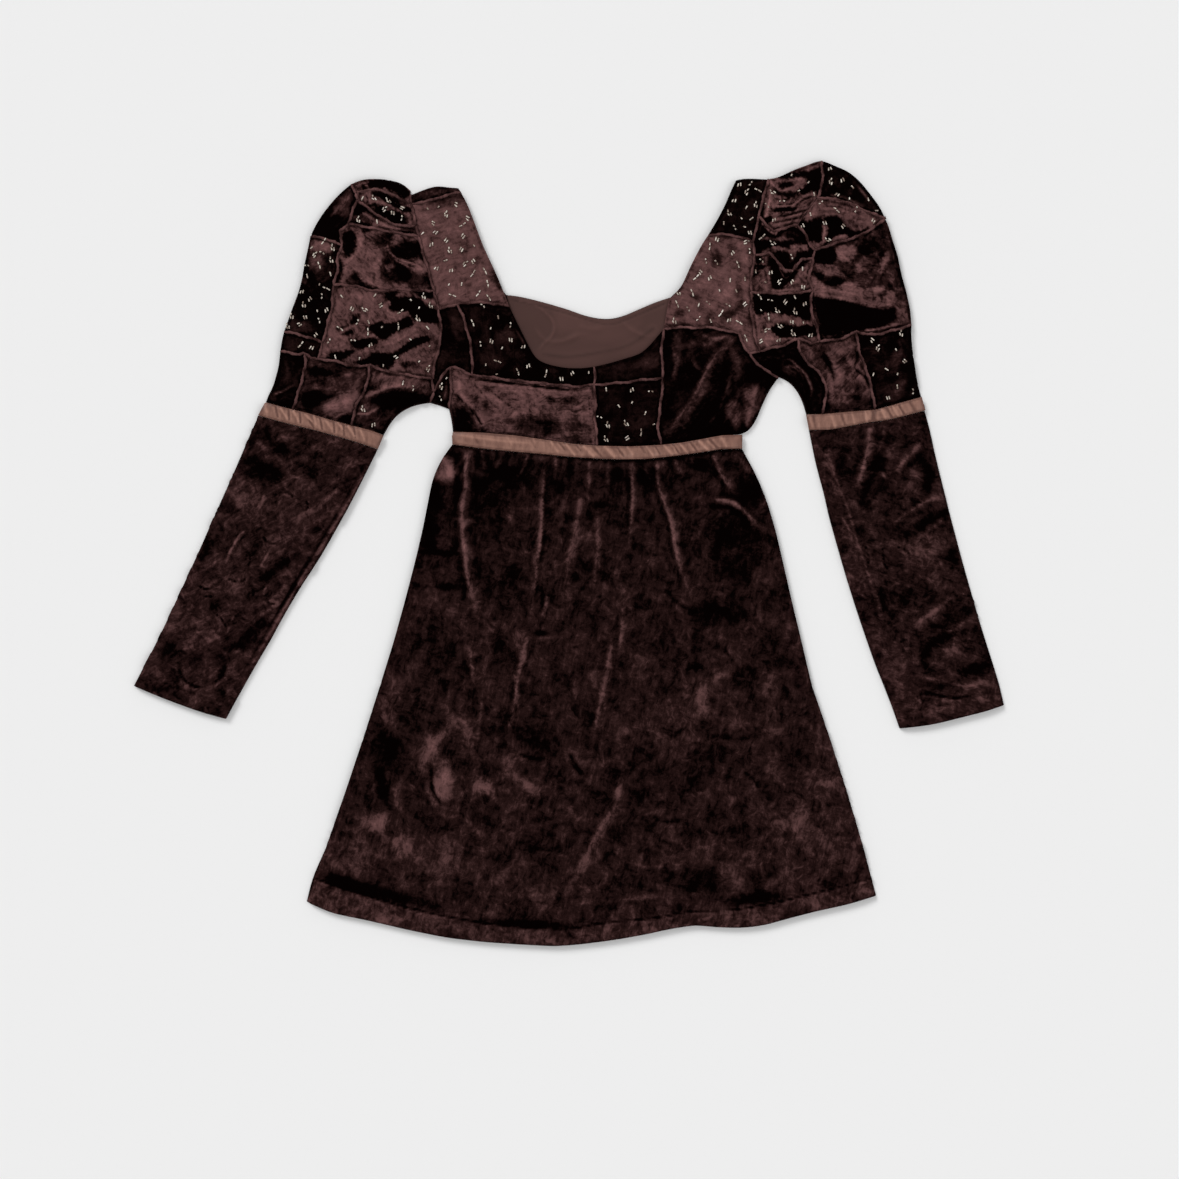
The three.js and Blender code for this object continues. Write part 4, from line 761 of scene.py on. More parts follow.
PATCH_RIDGES = {
    # node: path, half breadth, rise, light (a painted highlight on the crest, painted shade where negative)
    "shoulder_right": [([(-168, 392), (-158, 372), (-152, 350)], 3, 0.6, 0.2)],
    "strap_right": [
        ([(-146, 286), (-128, 300), (-104, 300)], 3, 0.7, 0.1),
        ([(-70, 286), (-86, 302), (-92, 326)], 3, 0.6, 0.1),
        ([(-176, 392), (-150, 396), (-122, 404)], 2.5, 0.5, -0.2),
        ([(-128, 384), (-118, 362), (-116, 336)], 3, 0.4, -0.12),
        ([(-140, 352), (-130, 330), (-134, 306)], 3, 0.4, -0.12),
    ],
    "bust_right": [([(-68, 278), (-62, 262), (-52, 242), (-44, 228)], 1.6, 0.4, 0.3)],
    "midriff_right": [
        ([(-126, 206), (-124, 184), (-112, 166), (-96, 146)], 3.4, 1.3, 0.3),
        ([(-134, 160), (-118, 152), (-104, 142)], 3, 1.0, 0.25),
        ([(-108, 196), (-90, 178), (-60, 170)], 4, 0.6, 0.15),
        ([(0, 184), (6, 160), (20, 136)], 4, 0.5, -0.2),
        ([(-135, 186), (-120, 173), (-106, 157), (-95, 139)], 1.7, -0.9, -0.6),
        ([(-112, 198), (-98, 182), (-84, 168), (-72, 162)], 1.3, -0.5, -0.35),
        ([(-96, 192), (-78, 177), (-54, 160), (-40, 154)], 1.2, -0.5, -0.3),
        ([(-74, 190), (-50, 176), (-28, 162)], 1.2, -0.4, -0.25),
        ([(-40, 190), (-24, 178), (-8, 172)], 1.2, -0.4, -0.25),
        ([(-84, 200), (-70, 188), (-48, 186)], 3, 0.5, 0.12),
        ([(-50, 158), (-30, 150), (-8, 150)], 3, 0.4, -0.2),
        # Painted shadow beside the seam rolls along the midriff's top edge and its inner edge.
        ([(-112, 200), (-76, 196.3), (-44, 192.4), (-12, 188.8), (8, 187.2), (22, 189)], 1.5, -0.6, -0.95),
        ([(22.5, 184), (23, 172), (24.5, 160), (24.5, 148)], 0.8, -0.3, -0.3),
    ],
    "side_front_left": [
        ([(112, 138), (126, 156), (144, 182), (160, 214), (182, 246)], 2.6, 1.3, 0.25),
        ([(150, 136), (168, 158), (182, 190), (192, 232)], 2.6, 1.2, 0.2),
        ([(198, 144), (208, 162), (214, 184), (220, 206)], 2.6, 1.2, 0.2),
        ([(136, 142), (150, 164), (164, 184)], 1.6, 0.7, 0.15),
        ([(176, 146), (190, 170), (200, 200)], 1.6, 0.7, 0.15),
        ([(116, 244), (122, 220), (118, 196)], 3, 0.7, 0.2),
        ([(140, 226), (150, 210), (172, 200)], 3, 0.7, 0.25),
        ([(150, 252), (168, 246), (190, 252)], 2.4, 0.6, 0.3),
    ],
    "gusset_right": [
        ([(-152, 186), (-144, 204), (-138, 208)], 2, 0.6, 0.4),
        ([(-140, 200), (-142, 182), (-146, 172)], 2.4, 0.7, 0.3),
    ],
    "side_front_right": [([(-134, 276), (-132, 256), (-122, 240)], 4, 0.5, 0.2)],
    "shoulder_left": [([(196, 426), (190, 404), (178, 384)], 3, 0.4, 0.15)],
    "strap_left": [
        ([(118, 266), (140, 272), (170, 266), (196, 268)], 3, 0.7, 0.1),
        ([(206, 350), (200, 320), (202, 280)], 3, 0.6, 0.12),
        ([(176, 380), (170, 350), (176, 320)], 3, 0.5, -0.12),
        ([(136, 300), (150, 290), (170, 292)], 3, 0.5, -0.12),
    ],
    "puff_cap_side_right": [([(-246, 412), (-262, 398), (-280, 378)], 3.4, 0.8, 0.2)],
    "puff_outer_right": [
        ([(-276, 356), (-292, 352), (-302, 340)], 3, 0.7, 0.15),
        ([(-318, 300), (-314, 284), (-318, 266)], 2.4, 0.6, 0.2),
    ],
    "puff_cap_top_right": [
        ([(-232, 416), (-215, 416), (-203, 410), (-192, 404), (-170, 403)], 1.8, 1.3, 0.15),
        ([(-246, 422), (-241, 412), (-236, 405)], 1.4, 0.9, 0.12),
        ([(-244, 416), (-239, 408), (-235, 402)], 0.9, -0.6, -0.3),
        ([(-207, 413), (-199, 407), (-188, 403)], 0.9, -0.6, -0.35),
    ],
    "puff_gather_right": [
        ([(-240, 410), (-230, 406), (-217, 401), (-205, 398), (-194, 392), (-180, 388)], 1.8, 1.4, 0.15),
        ([(-240, 404), (-228, 395), (-215, 387), (-202, 380), (-190, 375), (-178, 374)], 1.6, 1.4, 0.2),
        ([(-241, 399), (-229, 390.5), (-216, 384), (-202, 377), (-192, 372.5)], 1.4, 1.0, 0.2),
        ([(-236, 398), (-224, 389), (-208, 381), (-196, 376)], 0.9, -0.8, -0.4),
        ([(-214, 412), (-204, 404), (-192, 398), (-180, 397)], 1.2, 0.9, 0.5),
        ([(-208, 404), (-200, 400), (-190, 396)], 0.9, -0.5, -0.2),
        ([(-232, 410), (-230, 404), (-234, 398)], 1.1, -0.6, -0.3),
    ],
    "puff_wedge_right": [
        ([(-240, 392), (-222, 381), (-202, 372)], 1.8, 1.0, 0.3),
        ([(-226, 378), (-206, 373), (-178, 369)], 1.8, 1.0, 0.3),
    ],
    "puff_middle_right": [
        ([(-239, 374), (-237, 355), (-239, 340)], 2.4, 1.0, 0.12),
        ([(-243, 320), (-237, 313), (-229, 307)], 1.6, 0.9, 0.3),
        ([(-230, 362), (-226, 350), (-220, 344)], 2.2, 0.8, 0.12),
        ([(-252, 336), (-256, 322), (-256, 310)], 3.2, 0.9, 0.12),
        ([(-210, 349), (-199, 339), (-184, 333), (-163, 328)], 1.5, 1.3, 0.45),
        ([(-201, 336), (-190, 331), (-176, 324)], 1.3, 0.9, 0.35),
        ([(-184, 335), (-172, 331), (-164, 325)], 1.2, -0.6, -0.3),
        ([(-224, 350), (-222, 334), (-218, 320)], 4, 0.8, 0.05),
        ([(-234, 360), (-232, 346), (-236, 332)], 1.2, -0.6, -0.2),
        ([(-222, 322), (-216, 312), (-206, 306)], 2, 0.6, 0.15),
    ],
    "puff_front_right": [
        ([(-264, 297), (-244, 292), (-222, 296)], 3, 0.8, 0.05),
        ([(-214, 286), (-206, 276), (-194, 272), (-184, 275)], 2, 1.4, 0.2),
        ([(-214, 276), (-204, 270), (-192, 268), (-182, 271)], 1.6, 0.8, 0.12),
        ([(-206, 288), (-200, 293), (-196, 298)], 1.6, 0.9, 0.2),
        ([(-258, 222), (-240, 228), (-222, 234), (-205, 238), (-188, 247), (-172, 256), (-158, 258)],
         2.4, 1.6, 0.15),
        ([(-236, 232), (-216, 240), (-198, 246), (-184, 254)], 1.6, 1.0, 0.1),
        ([(-230, 234), (-210, 236), (-196, 242)], 1.0, -0.6, -0.2),
        ([(-284, 228), (-270, 234), (-254, 240), (-246, 248)], 2.4, 1.2, 0.1),
        ([(-262, 254), (-250, 258), (-240, 262)], 1.6, 0.8, 0.15),
        ([(-174, 291), (-160, 288), (-148, 288)], 2.2, 1.0, 0.15),
        ([(-214, 211), (-190, 216), (-162, 226)], 3, 1.0, 0.1),
        ([(-282, 219), (-262, 218), (-248, 214), (-236, 214)], 1.8, 0.8, 0.15),
        ([(-246, 284), (-236, 278), (-228, 268)], 3, 0.6, -0.08),
    ],
    "band_outer_right": [
        ([(-340, 182), (-325, 187), (-312, 195)], 1.5, 0.7, 0.5),
        ([(-326, 224), (-322, 208), (-326, 196)], 3, 0.8, 0.15),
    ],
    "band_middle_right": [
        ([(-284, 164), (-262, 171), (-240, 176)], 3.4, 1.0, 0.2),
        ([(-286, 214), (-262, 206), (-240, 202)], 3, 0.8, 0.2),
        ([(-298, 190), (-276, 188), (-254, 186)], 3, 0.7, 0.12),
        ([(-300, 180), (-280, 178), (-262, 182)], 2, -0.7, -0.3),
    ],
    "band_inner_right": [
        ([(-242, 178), (-225, 182), (-205, 190), (-180, 190), (-164, 187)], 3.2, 1.4, 0.4),
        ([(-245, 160), (-230, 160), (-215, 168)], 1.5, 0.8, 0.4),
        ([(-226, 200), (-204, 202), (-170, 198)], 2.4, 0.7, 0.1),
    ],
    "puff_cap_top_left": [
        ARMHOLE_RIDGE,
        ([(228, 430), (233, 424), (238, 418), (245, 415), (255, 418), (261, 416)], 1.8, 1.4, 0.3),
        ([(226, 420), (224, 405), (221, 390), (216, 376)], 1.2, -0.8, -0.3),
        ([(236, 414), (233, 403), (234, 392)], 1.4, 0.9, 0.2),
        ([(237, 402), (246, 403), (253, 401)], 1.2, 0.8, 0.2),
        ([(236, 399.5), (252, 398.5), (264, 404)], 1.0, -0.8, -0.35),
        ([(235, 397), (248, 396.5), (258, 399), (270, 408), (284, 413)], 1.5, 1.2, 0.2),
        ([(258, 396), (268, 404), (280, 408), (286, 406)], 1.0, -0.8, -0.3),
        ([(256, 390), (270, 396), (285, 402)], 1.5, 1.0, 0.15),
        ([(232, 387), (246, 390), (258, 390)], 1.2, 0.8, 0.15),
        ([(236, 384), (252, 387), (270, 392), (284, 398)], 1.0, -0.7, -0.35),
        ([(233, 380), (250, 384), (268, 388), (286, 394)], 1.4, 1.0, 0.15),
        ([(232, 378), (250, 381), (270, 385)], 0.9, -0.7, -0.3),
        ([(232, 374), (250, 378), (272, 382)], 1.4, 0.9, 0.15),
        ([(262, 393), (272, 397), (280, 401)], 0.9, -0.6, -0.3),
        ([(250, 427), (260, 427), (270, 430)], 1.6, 0.9, 0.15),
        ([(258, 436), (262, 437), (266, 434)], 1.4, 0.6, 0.3),
    ],
    "puff_cap_side_left": [
        ([(330, 424), (338, 412), (348, 400)], 2.6, 0.8, 0.5),
        ([(296, 410), (318, 405), (344, 392)], 2, 0.7, 0.45),
    ],
    "puff_fold_left": [
        ([(284, 405), (300, 404), (313, 402), (326, 396), (342, 387), (362, 381)], 1.7, 1.3, 0.12),
        ([(286, 396), (304, 396), (322, 391), (346, 384)], 1.2, -0.5, -0.14),
        ([(284, 392), (300, 393), (322, 388), (350, 381)], 1.6, 0.9, 0.06),
        ([(290, 400), (308, 400), (324, 394)], 1.0, -0.4, -0.12),
        ([(262, 383), (284, 387), (306, 387), (322, 382)], 1.5, 1.0, 0.12),
        ([(291, 377), (293, 370), (291, 361), (290, 352)], 1.9, 1.0, 0.25),
        ([(275, 371), (300, 374), (330, 372), (352, 373)], 4.6, -1.2, 0),
        ([(300, 358), (308, 362), (318, 361)], 2.4, 0.9, 0.1),
        ([(322, 384), (334, 381), (350, 379)], 1.2, -0.4, -0.12),
    ],
    "puff_outer_left": [
        ([(276, 306), (290, 301), (305, 299), (330, 295), (357, 290), (374, 293)], 6, 1.9, 0.05),
        ([(282, 297), (300, 292), (320, 289), (345, 283)], 1.6, 0.9, 0.12),
        ([(284, 274), (316, 266), (346, 264), (370, 268)], 9, -1.6, 0),
        ([(290, 303), (310, 301), (334, 297)], 1.2, -0.5, -0.14),
        ([(324, 303), (342, 300), (354, 294)], 1.1, -0.4, -0.12),
        ([(334, 254), (356, 257), (386, 265)], 2.4, 0.8, 0.4),
        ([(292, 251), (312, 254), (334, 256)], 1.5, 0.6, 0.3),
        ([(338, 322), (346, 316), (350, 306)], 2.2, 0.7, 0.15),
        ([(352, 336), (346, 324), (338, 316)], 2.0, -0.6, -0.15),
        ([(366, 316), (372, 306), (378, 296)], 2.4, 0.6, 0.12),
        ([(312, 326), (318, 318), (330, 313)], 2.2, -0.6, -0.2),
    ],
    "puff_gather_top_left": [
        ARMHOLE_RIDGE, *GATHER_FOLD,
        ([(219, 380), (228, 370), (236, 365), (240, 369), (250, 374.5), (260, 373), (269, 365),
          (273, 350)], 1.6, 1.4, 0.55),
        ([(222, 350), (236, 353), (248, 350)], 1.2, -0.6, -0.2),
        ([(254, 346), (262, 349), (270, 346)], 1.0, -0.5, -0.25),
    ],
    "puff_gather_left": [
        *GATHER_FOLD,
        ([(246, 303), (255, 308), (266, 316), (275, 328)], 2.0, 1.2, 0.12),
        ([(213, 330), (222, 331), (230, 328)], 1.4, 1.0, 0.15),
        ([(224, 326), (226, 316), (224, 306)], 1.2, -0.7, -0.25),
        ([(212, 301.5), (240, 300), (272, 303)], 1.6, 0.8, 0.2),
        ([(216, 318), (220, 308), (230, 303)], 1.4, 0.8, 0.12),
        ([(262, 318), (268, 310), (278, 306)], 1.2, -0.6, -0.25),
        ([(266, 324), (272, 318), (280, 316)], 1.4, 0.8, 0.12),
    ],
    "puff_front_left": [
        ([(216, 264), (228, 269), (240, 268), (252, 266), (264, 262), (273, 256)], 3.2, 1.7, 0.06),
        ([(212, 246), (236, 245), (258, 246), (276, 248)], 1.6, 1.0, 0.12),
        ([(214, 240), (218, 252), (214, 270)], 1.8, 0.7, 0.1),
        ([(222, 243), (225, 252), (222, 262)], 1.2, -0.5, -0.2),
        ([(262, 244), (272, 240), (282, 243)], 2.0, 0.6, 0.15),
        ([(214, 286), (240, 286), (272, 284)], 6, -0.8, 0),
        ([(266, 270), (274, 262), (282, 258)], 1.4, 0.8, 0.2),
    ],
    "band_outer_left": [
        ([(378, 250), (380, 230), (376, 212)], 4, 0.8, 0.15),
        ([(366, 178), (380, 190), (388, 206)], 4, 0.7, 0.15),
    ],
    "band_middle_left": [
        ([(284, 238), (300, 222), (312, 198), (316, 172)], 3.4, 0.9, 0.15),
        ([(300, 236), (322, 218), (334, 190)], 3.4, 0.9, 0.15),
        ([(290, 226), (302, 206), (304, 178)], 2.0, -0.9, -0.3),
        ([(306, 170), (324, 176), (342, 174)], 3, 0.7, 0.15),
        ([(325, 240), (330, 225), (327, 212), (340, 200), (347, 182)], 1.8, -0.9, -0.45),
    ],
    "band_inner_left": [
        ([(243, 220), (252, 222), (262, 214), (270, 206), (276, 195), (278, 185), (275, 172)],
         2.1, 1.3, 0.55),
        ([(246, 212), (256, 214), (266, 205), (271, 188)], 1.8, 0.9, 0.3),
        ([(222, 226), (240, 224), (252, 230)], 2, 0.6, 0.15),
    ],
}
PATCH_STROKES = {
    # node: centre, half sizes, turn, light
    "shoulder_right": [((-160, 366), (12, 22), 10, 0.1), ((-176, 380), (6, 10), 0, -0.2)],
    "strap_right": [
        ((-96, 372), (8, 6), 60, -0.4), ((-84, 316), (6, 12), 20, -0.3), ((-140, 406), (30, 7), 10, -0.4),
        ((-122, 352), (7, 12), 20, -0.2), ((-104, 336), (5, 9), -30, -0.2), ((-138, 316), (8, 6), 0, -0.15),
    ],
    "strap_left": [
        ((196, 300), (5, 10), 10, -0.3), ((168, 336), (7, 12), -20, -0.25), ((184, 366), (6, 10), 0, -0.25),
        ((146, 296), (10, 6), 0, -0.25), ((128, 276), (8, 5), 0, -0.25), ((208, 268), (8, 6), 0, -0.2),
        ((184, 274), (13, 5), 32, -0.38), ((196, 284), (5, 7), 0, -0.25), ((130, 262), (16, 3), 0, -0.3),
        ((152, 284), (6, 4), 30, -0.25), ((160, 268), (5, 8), 20, -0.2), ((178, 300), (14, 10), 30, 0.14),
    ],
    "bust_right": [
        ((-72, 250), (12, 12), 0, 0.25), ((-88, 222), (14, 8), 0, 0.2), ((-60, 228), (15, 6), -25, 0.14),
        ((-24, 213), (12, 5), -8, 0.1),
    ],
    "midriff_centre": [
        ((80, 155), (12, 14), -30, 0.2), ((54, 168), (8, 10), 40, 0.1), ((92, 179), (7, 9), 30, 0.12),
    ],
    "side_front_right": [((-124, 262), (9, 6), -40, 0.3)],
    "midriff_right": [
        ((-118, 154), (12, 14), 0, -0.4), ((-40, 150), (30, 9), 0, -0.3), ((-60, 184), (50, 10), 0, 0.1),
        ((-96, 172), (4, 6), 20, -0.3), ((-70, 152), (9, 4), 0, -0.3), ((-20, 176), (5, 4), 0, -0.3),
        ((6, 150), (7, 9), 0, -0.3), ((-88, 206), (6, 4), 0, -0.3), ((-36, 200), (8, 4), 0, -0.2),
    ],
    "side_front_left": [
        ((166, 246), (30, 8), 0, 0.1), ((140, 236), (8, 10), 0, 0.12),
    ],
    "puff_outer_right": [
        ((-285, 352), (14, 7), -10, 0.35), ((-290, 336), (10, 11), 0, 0.3), ((-305, 260), (14, 9), 0, 0.25),
        ((-305, 313), (4, 5), 0, 0.35), ((-315, 292), (3, 6), 0, 0.35),
    ],
    "band_middle_right": [
        ((-262, 170), (19, 7), 15, 0.25), ((-298, 171), (9, 6), 0, -0.35), ((-257, 154), (8, 4), 0, -0.35),
        ((-268, 198), (22, 8), 0, 0.08),
    ],
    "band_inner_right": [((-200, 172), (22, 8), 15, -0.35), ((-216, 174), (9, 4), 0, -0.25)],
    "band_outer_left": [((374, 222), (5, 14), 0, 0.2), ((375, 188), (13, 10), 30, 0.2)],
    "band_middle_left": [
        ((293, 225), (4, 3), 0, -0.35), ((297, 218), (3, 4), 20, -0.35), ((315, 223), (3, 4), 0, -0.35),
        ((318, 205), (3, 3), 0, -0.3), ((322, 212), (4, 3), 0, -0.3), ((330, 190), (4, 5), 0, -0.35),
        ((330, 178), (5, 3), 0, -0.3), ((295, 168), (5, 5), 0, -0.4), ((318, 206), (20, 24), -60, 0.1),
    ],
    "band_inner_left": [((254, 211), (11, 6), -20, 0.25)],
}

BRUSHED = {
    # node: the outline of each stretch of pile laid one way, its nap, and how soft its edge is
    "puff_cap_side_right": [
        ([(-250, 424), (-262, 412), (-272, 398), (-266, 388), (-256, 386), (-250, 400)], 0.4),
        ([(-282, 392), (-264, 386), (-254, 383), (-258, 372), (-262, 360), (-284, 360)], 0.05),
    ],
    "puff_cap_top_right": [
        ([(-229, 429), (-200, 430), (-188, 421), (-184, 412), (-190, 409), (-200, 415), (-210, 419),
          (-229, 421)], -0.05),
        ([(-237, 423), (-234, 423), (-231, 418), (-233, 416), (-237, 419)], 0.0),
    ],
    "puff_gather_right": [
        ([(-226, 411), (-216, 413), (-207, 410), (-199, 404), (-189, 399), (-179, 394), (-186, 391),
          (-196, 395), (-206, 400), (-216, 407)], 0.0),
        ([(-223, 393), (-214, 396), (-207, 392), (-196, 391), (-189, 387), (-184, 379), (-190, 378),
          (-195, 374), (-206, 381), (-215, 386)], 0.0),
        ([(-230, 399), (-224, 400), (-217, 399), (-222, 396), (-228, 396)], 0.1),
    ],
    "puff_wedge_right": [
        ([(-246, 396), (-240, 399), (-233, 395), (-236, 389), (-245, 387)], 0.05),
        ([(-250, 380), (-240, 380), (-228, 376), (-236, 375), (-248, 377)], 0.12),
    ],
    "puff_middle_right": [
        ([(-258, 367), (-250, 370), (-244, 364), (-243, 352), (-247, 342), (-257, 340)], 0.02, 2.6),
        ([(-262, 334), (-258, 330), (-260, 318), (-265, 308), (-267, 318), (-263, 326)], 0.1, 2.4),
        ([(-237, 371), (-228, 371), (-231, 366), (-236, 367)], 0.1, 2.4),
        ([(-231, 362), (-222, 362), (-212, 366), (-203, 366), (-204, 356), (-210, 351), (-218, 350),
          (-225, 357)], 0.3, 3.4),
        ([(-190, 361), (-182, 359), (-171, 358), (-166, 350), (-164, 338), (-176, 338), (-192, 336),
          (-203, 342), (-206, 350), (-196, 354)], 0.08, 3.8),
        ([(-212, 347), (-206, 340), (-196, 332), (-184, 326), (-172, 321), (-158, 322), (-158, 306),
          (-174, 305), (-196, 309), (-208, 309), (-216, 318), (-214, 334)], 0.2, 4.2),
        ([(-211, 331), (-203, 332), (-199, 328), (-206, 324), (-211, 327)], 0.62, 2.6),
        ([(-250, 318), (-244, 322), (-237, 314), (-229, 307), (-244, 306), (-256, 309)], 0.3, 3.0),
        ([(-256, 306), (-240, 307), (-222, 306), (-222, 302), (-250, 302)], 0.2, 2.6),
    ],
    "puff_outer_right": [
        ([(-313, 312), (-298, 318), (-285, 310), (-282, 290), (-284, 270), (-300, 264), (-318, 270),
          (-318, 292)], 0.04, 4.4),
        ([(-298, 362), (-282, 358), (-270, 351), (-273, 342), (-286, 344), (-298, 350)], 0.5, 3.0),
        ([(-300, 338), (-288, 340), (-280, 334), (-284, 324), (-296, 326)], 0.34, 3.4),
    ],
    "side_front_left": [
        ([(108, 140), (116, 146), (128, 160), (140, 176), (150, 196), (158, 214), (168, 228),
          (182, 246), (188, 243), (178, 228), (166, 214), (160, 190), (147, 172), (138, 154),
          (124, 142), (114, 134)], 0.42, 4.0),
        ([(120, 252), (126, 250), (129, 236), (127, 220), (124, 204), (119, 200), (121, 220), (121, 238)],
         0.4, 3.0),
        ([(154, 240), (162, 245), (172, 249), (176, 246), (166, 240), (156, 235)], 0.42, 2.8),
        ([(184, 238), (192, 232), (198, 220), (196, 204), (190, 194), (189, 208), (188, 222)], 0.4, 3.2),
        ([(180, 172), (188, 176), (196, 170), (198, 158), (194, 146), (186, 150), (180, 160)], 0.5, 3.4),
        ([(200, 190), (212, 192), (222, 186), (222, 172), (212, 156), (204, 146), (200, 158), (203, 174)],
         0.5, 3.8),
        ([(128, 212), (138, 220), (146, 212), (140, 190), (130, 176), (124, 182), (128, 198)], 0.0, 3.4),
        ([(148, 166), (164, 184), (178, 192), (182, 182), (176, 164), (166, 146), (148, 140), (138, 142)],
         0.02, 3.6),
        ([(204, 216), (214, 220), (222, 210), (218, 198), (208, 196), (202, 204)], -0.05, 3.2),
        ([(112, 152), (118, 162), (126, 176), (116, 186), (110, 172)], 0.04, 3.2),
    ],
    "midriff_right": [
        ([(-133, 168), (-122, 162), (-112, 151), (-102, 141), (-96, 134), (-116, 134), (-134, 140),
          (-136, 156)], 0.14, 4.4),
        ([(-8, 146), (10, 150), (24, 148), (27, 136), (24, 127), (4, 128), (-12, 134)], 0.34, 3.6),
        ([(-70, 146), (-50, 152), (-20, 150), (6, 146), (18, 138), (-20, 132), (-60, 134), (-78, 138)],
         0.52, 4.2),
        ([(-36, 142), (-22, 146), (-10, 143), (-14, 137), (-30, 136)], 0.36, 3.0),
    ],
    "bust_centre": [
        ([(88, 226), (102, 230), (108, 224), (100, 214), (84, 212), (70, 214)], 0.3, 4.0),
    ],
    "band_middle_right": [
        ([(-285, 159), (-278, 170), (-266, 179), (-250, 185), (-240, 185), (-245, 172), (-252, 160),
          (-262, 155), (-276, 155)], 0.68, 3.2),
        ([(-304, 184), (-290, 185), (-279, 180), (-284, 172), (-296, 170), (-304, 174)], 0.0, 3.2),
        ([(-300, 212), (-286, 213), (-270, 210), (-256, 208), (-262, 203), (-280, 204), (-296, 205)],
         0.06, 2.8),
        ([(-263, 155), (-252, 159), (-246, 153), (-254, 148)], 0.05, 2.6),
    ],
    "band_inner_right": [
        ([(-226, 206), (-206, 207), (-180, 202), (-160, 197), (-166, 191), (-190, 191), (-210, 189),
          (-225, 193)], 0.56, 3.0),
        ([(-217, 180), (-196, 184), (-172, 183), (-158, 181), (-174, 173), (-200, 171), (-216, 174)],
         0.0, 2.8),
        ([(-239, 168), (-226, 173), (-211, 174), (-214, 167), (-227, 159), (-238, 158)], 0.5, 2.8),
    ],
    "puff_front_right": [
        ([(-210, 297), (-199, 299), (-196, 293), (-186, 293), (-170, 291), (-164, 284), (-156, 283),
          (-150, 274), (-150, 265), (-166, 265), (-179, 271), (-184, 277), (-196, 277), (-205, 280),
          (-203, 288), (-209, 290)], -0.05),
        ([(-174, 299), (-150, 300), (-150, 294), (-169, 293)], 0.0),
        ([(-230, 258), (-216, 264), (-204, 262), (-190, 267), (-183, 270), (-179, 262), (-190, 256),
          (-202, 251), (-211, 244), (-222, 250)], -0.05),
        ([(-249, 241), (-240, 244), (-222, 246), (-219, 240), (-236, 235), (-247, 236)], 0.05),
        ([(-280, 220), (-271, 229), (-258, 231), (-245, 231), (-255, 224), (-264, 221)], 0.05),
        ([(-246, 219), (-232, 222), (-223, 229), (-208, 229), (-198, 231), (-185, 240), (-175, 246),
          (-162, 248), (-160, 244), (-174, 237), (-189, 229), (-198, 222), (-202, 214), (-209, 211),
          (-220, 216), (-238, 216)], 0.0),
        ([(-262, 251), (-250, 255), (-247, 252), (-255, 249.5)], 0.1),
        ([(-253, 262), (-244, 273), (-238, 273), (-242, 264)], 0.22),
        ([(-252, 260), (-266, 258), (-267, 254), (-260, 255)], 0.25),
        ([(-194, 216), (-184, 220), (-176, 218), (-186, 213)], 0.25),
    ],
    "puff_cap_top_left": [
        ([(270, 434), (273, 424), (268, 417), (262, 415), (268, 411), (280, 415), (285, 411),
          (288, 406), (294, 420), (294, 440), (284, 442)], 0.0),
        ([(236, 433), (248, 430), (262, 431), (272, 432), (276, 438), (262, 438), (246, 435)], 0.1),
        ([(241, 425), (252, 424), (257, 422), (250, 420), (243, 420)], 0.02),
        ([(236, 419), (244, 413), (256, 414), (263, 411), (258, 408), (246, 408), (238, 411)], 0.22),
        ([(238, 406), (246, 405), (253, 408), (250, 403), (242, 403)], 0.15),
        ([(233, 394), (246, 396), (259, 394), (256, 391), (240, 390.5)], -0.05),
        ([(223, 385), (232, 385), (232, 380), (224, 380)], -0.05),
    ],
    "puff_fold_left": [
        ([(260, 380), (274, 380), (283, 383), (289, 381), (289, 366), (288, 356), (280, 357),
          (270, 361), (266, 370)], 0.02),
        ([(290, 384), (302, 385), (311, 382), (317, 376), (324, 370), (334, 369), (343, 374),
          (336, 366), (326, 362), (314, 365), (304, 363), (299, 357), (293, 353), (296, 362),
          (297, 372), (292, 378)], 0.02),
        ([(312, 380), (320, 383), (335, 379), (348, 378), (340, 374), (326, 371), (317, 376)], 0.45),
    ],
    "puff_gather_top_left": [
        ([(240, 366), (250, 371), (259, 368), (263, 362), (244, 361)], 0.3),
        ([(221, 362.5), (236, 362), (256, 361), (256, 358), (238, 357.5), (222, 359)], 0.52),
        ([(217, 344), (226, 349), (237, 352), (244, 350), (251, 349), (256, 353), (272, 353),
          (274, 346), (262, 345), (257, 336), (253, 333), (252, 341), (246, 346), (236, 345), (228, 343)],
         0.62),
        ([(220, 380), (226, 372), (235, 365), (241, 369), (248, 375), (236, 379)], 0.6),
    ],
    "puff_gather_left": [
        ([(229, 341), (235, 338), (239, 331), (243, 323), (249, 319), (262, 324), (259, 318),
          (254, 312), (248, 308), (244, 303), (234, 303), (232, 316), (231, 326), (228, 333)], 0.0),
        ([(262, 332), (270, 336), (275, 334), (270, 329), (262, 325)], 0.05),
        ([(214, 337), (220, 339), (222, 334), (216, 333)], 0.0),
        ([(215, 330), (225, 330), (222, 326), (217, 326)], 0.0),
        ([(209, 325), (216, 322), (211, 318)], 0.0),
        ([(248, 305), (258, 309), (263, 305), (250, 302)], 0.35),
    ],
    "puff_outer_left": [
        ([(280, 346), (290, 348), (303, 349), (307, 342), (304, 334), (302, 331), (290, 331), (281, 334)],
         -0.05),
        ([(304, 348), (312, 352), (324, 353), (328, 345), (326, 338), (322, 333), (316, 334), (309, 337)],
         0.66),
        ([(282, 332), (290, 331), (302, 329), (309, 326), (309, 321), (304, 316), (298, 316),
          (291, 318), (286, 322)], 0.66),
        ([(327, 333), (332, 331), (335, 324), (332, 319), (328, 321)], 0.64),
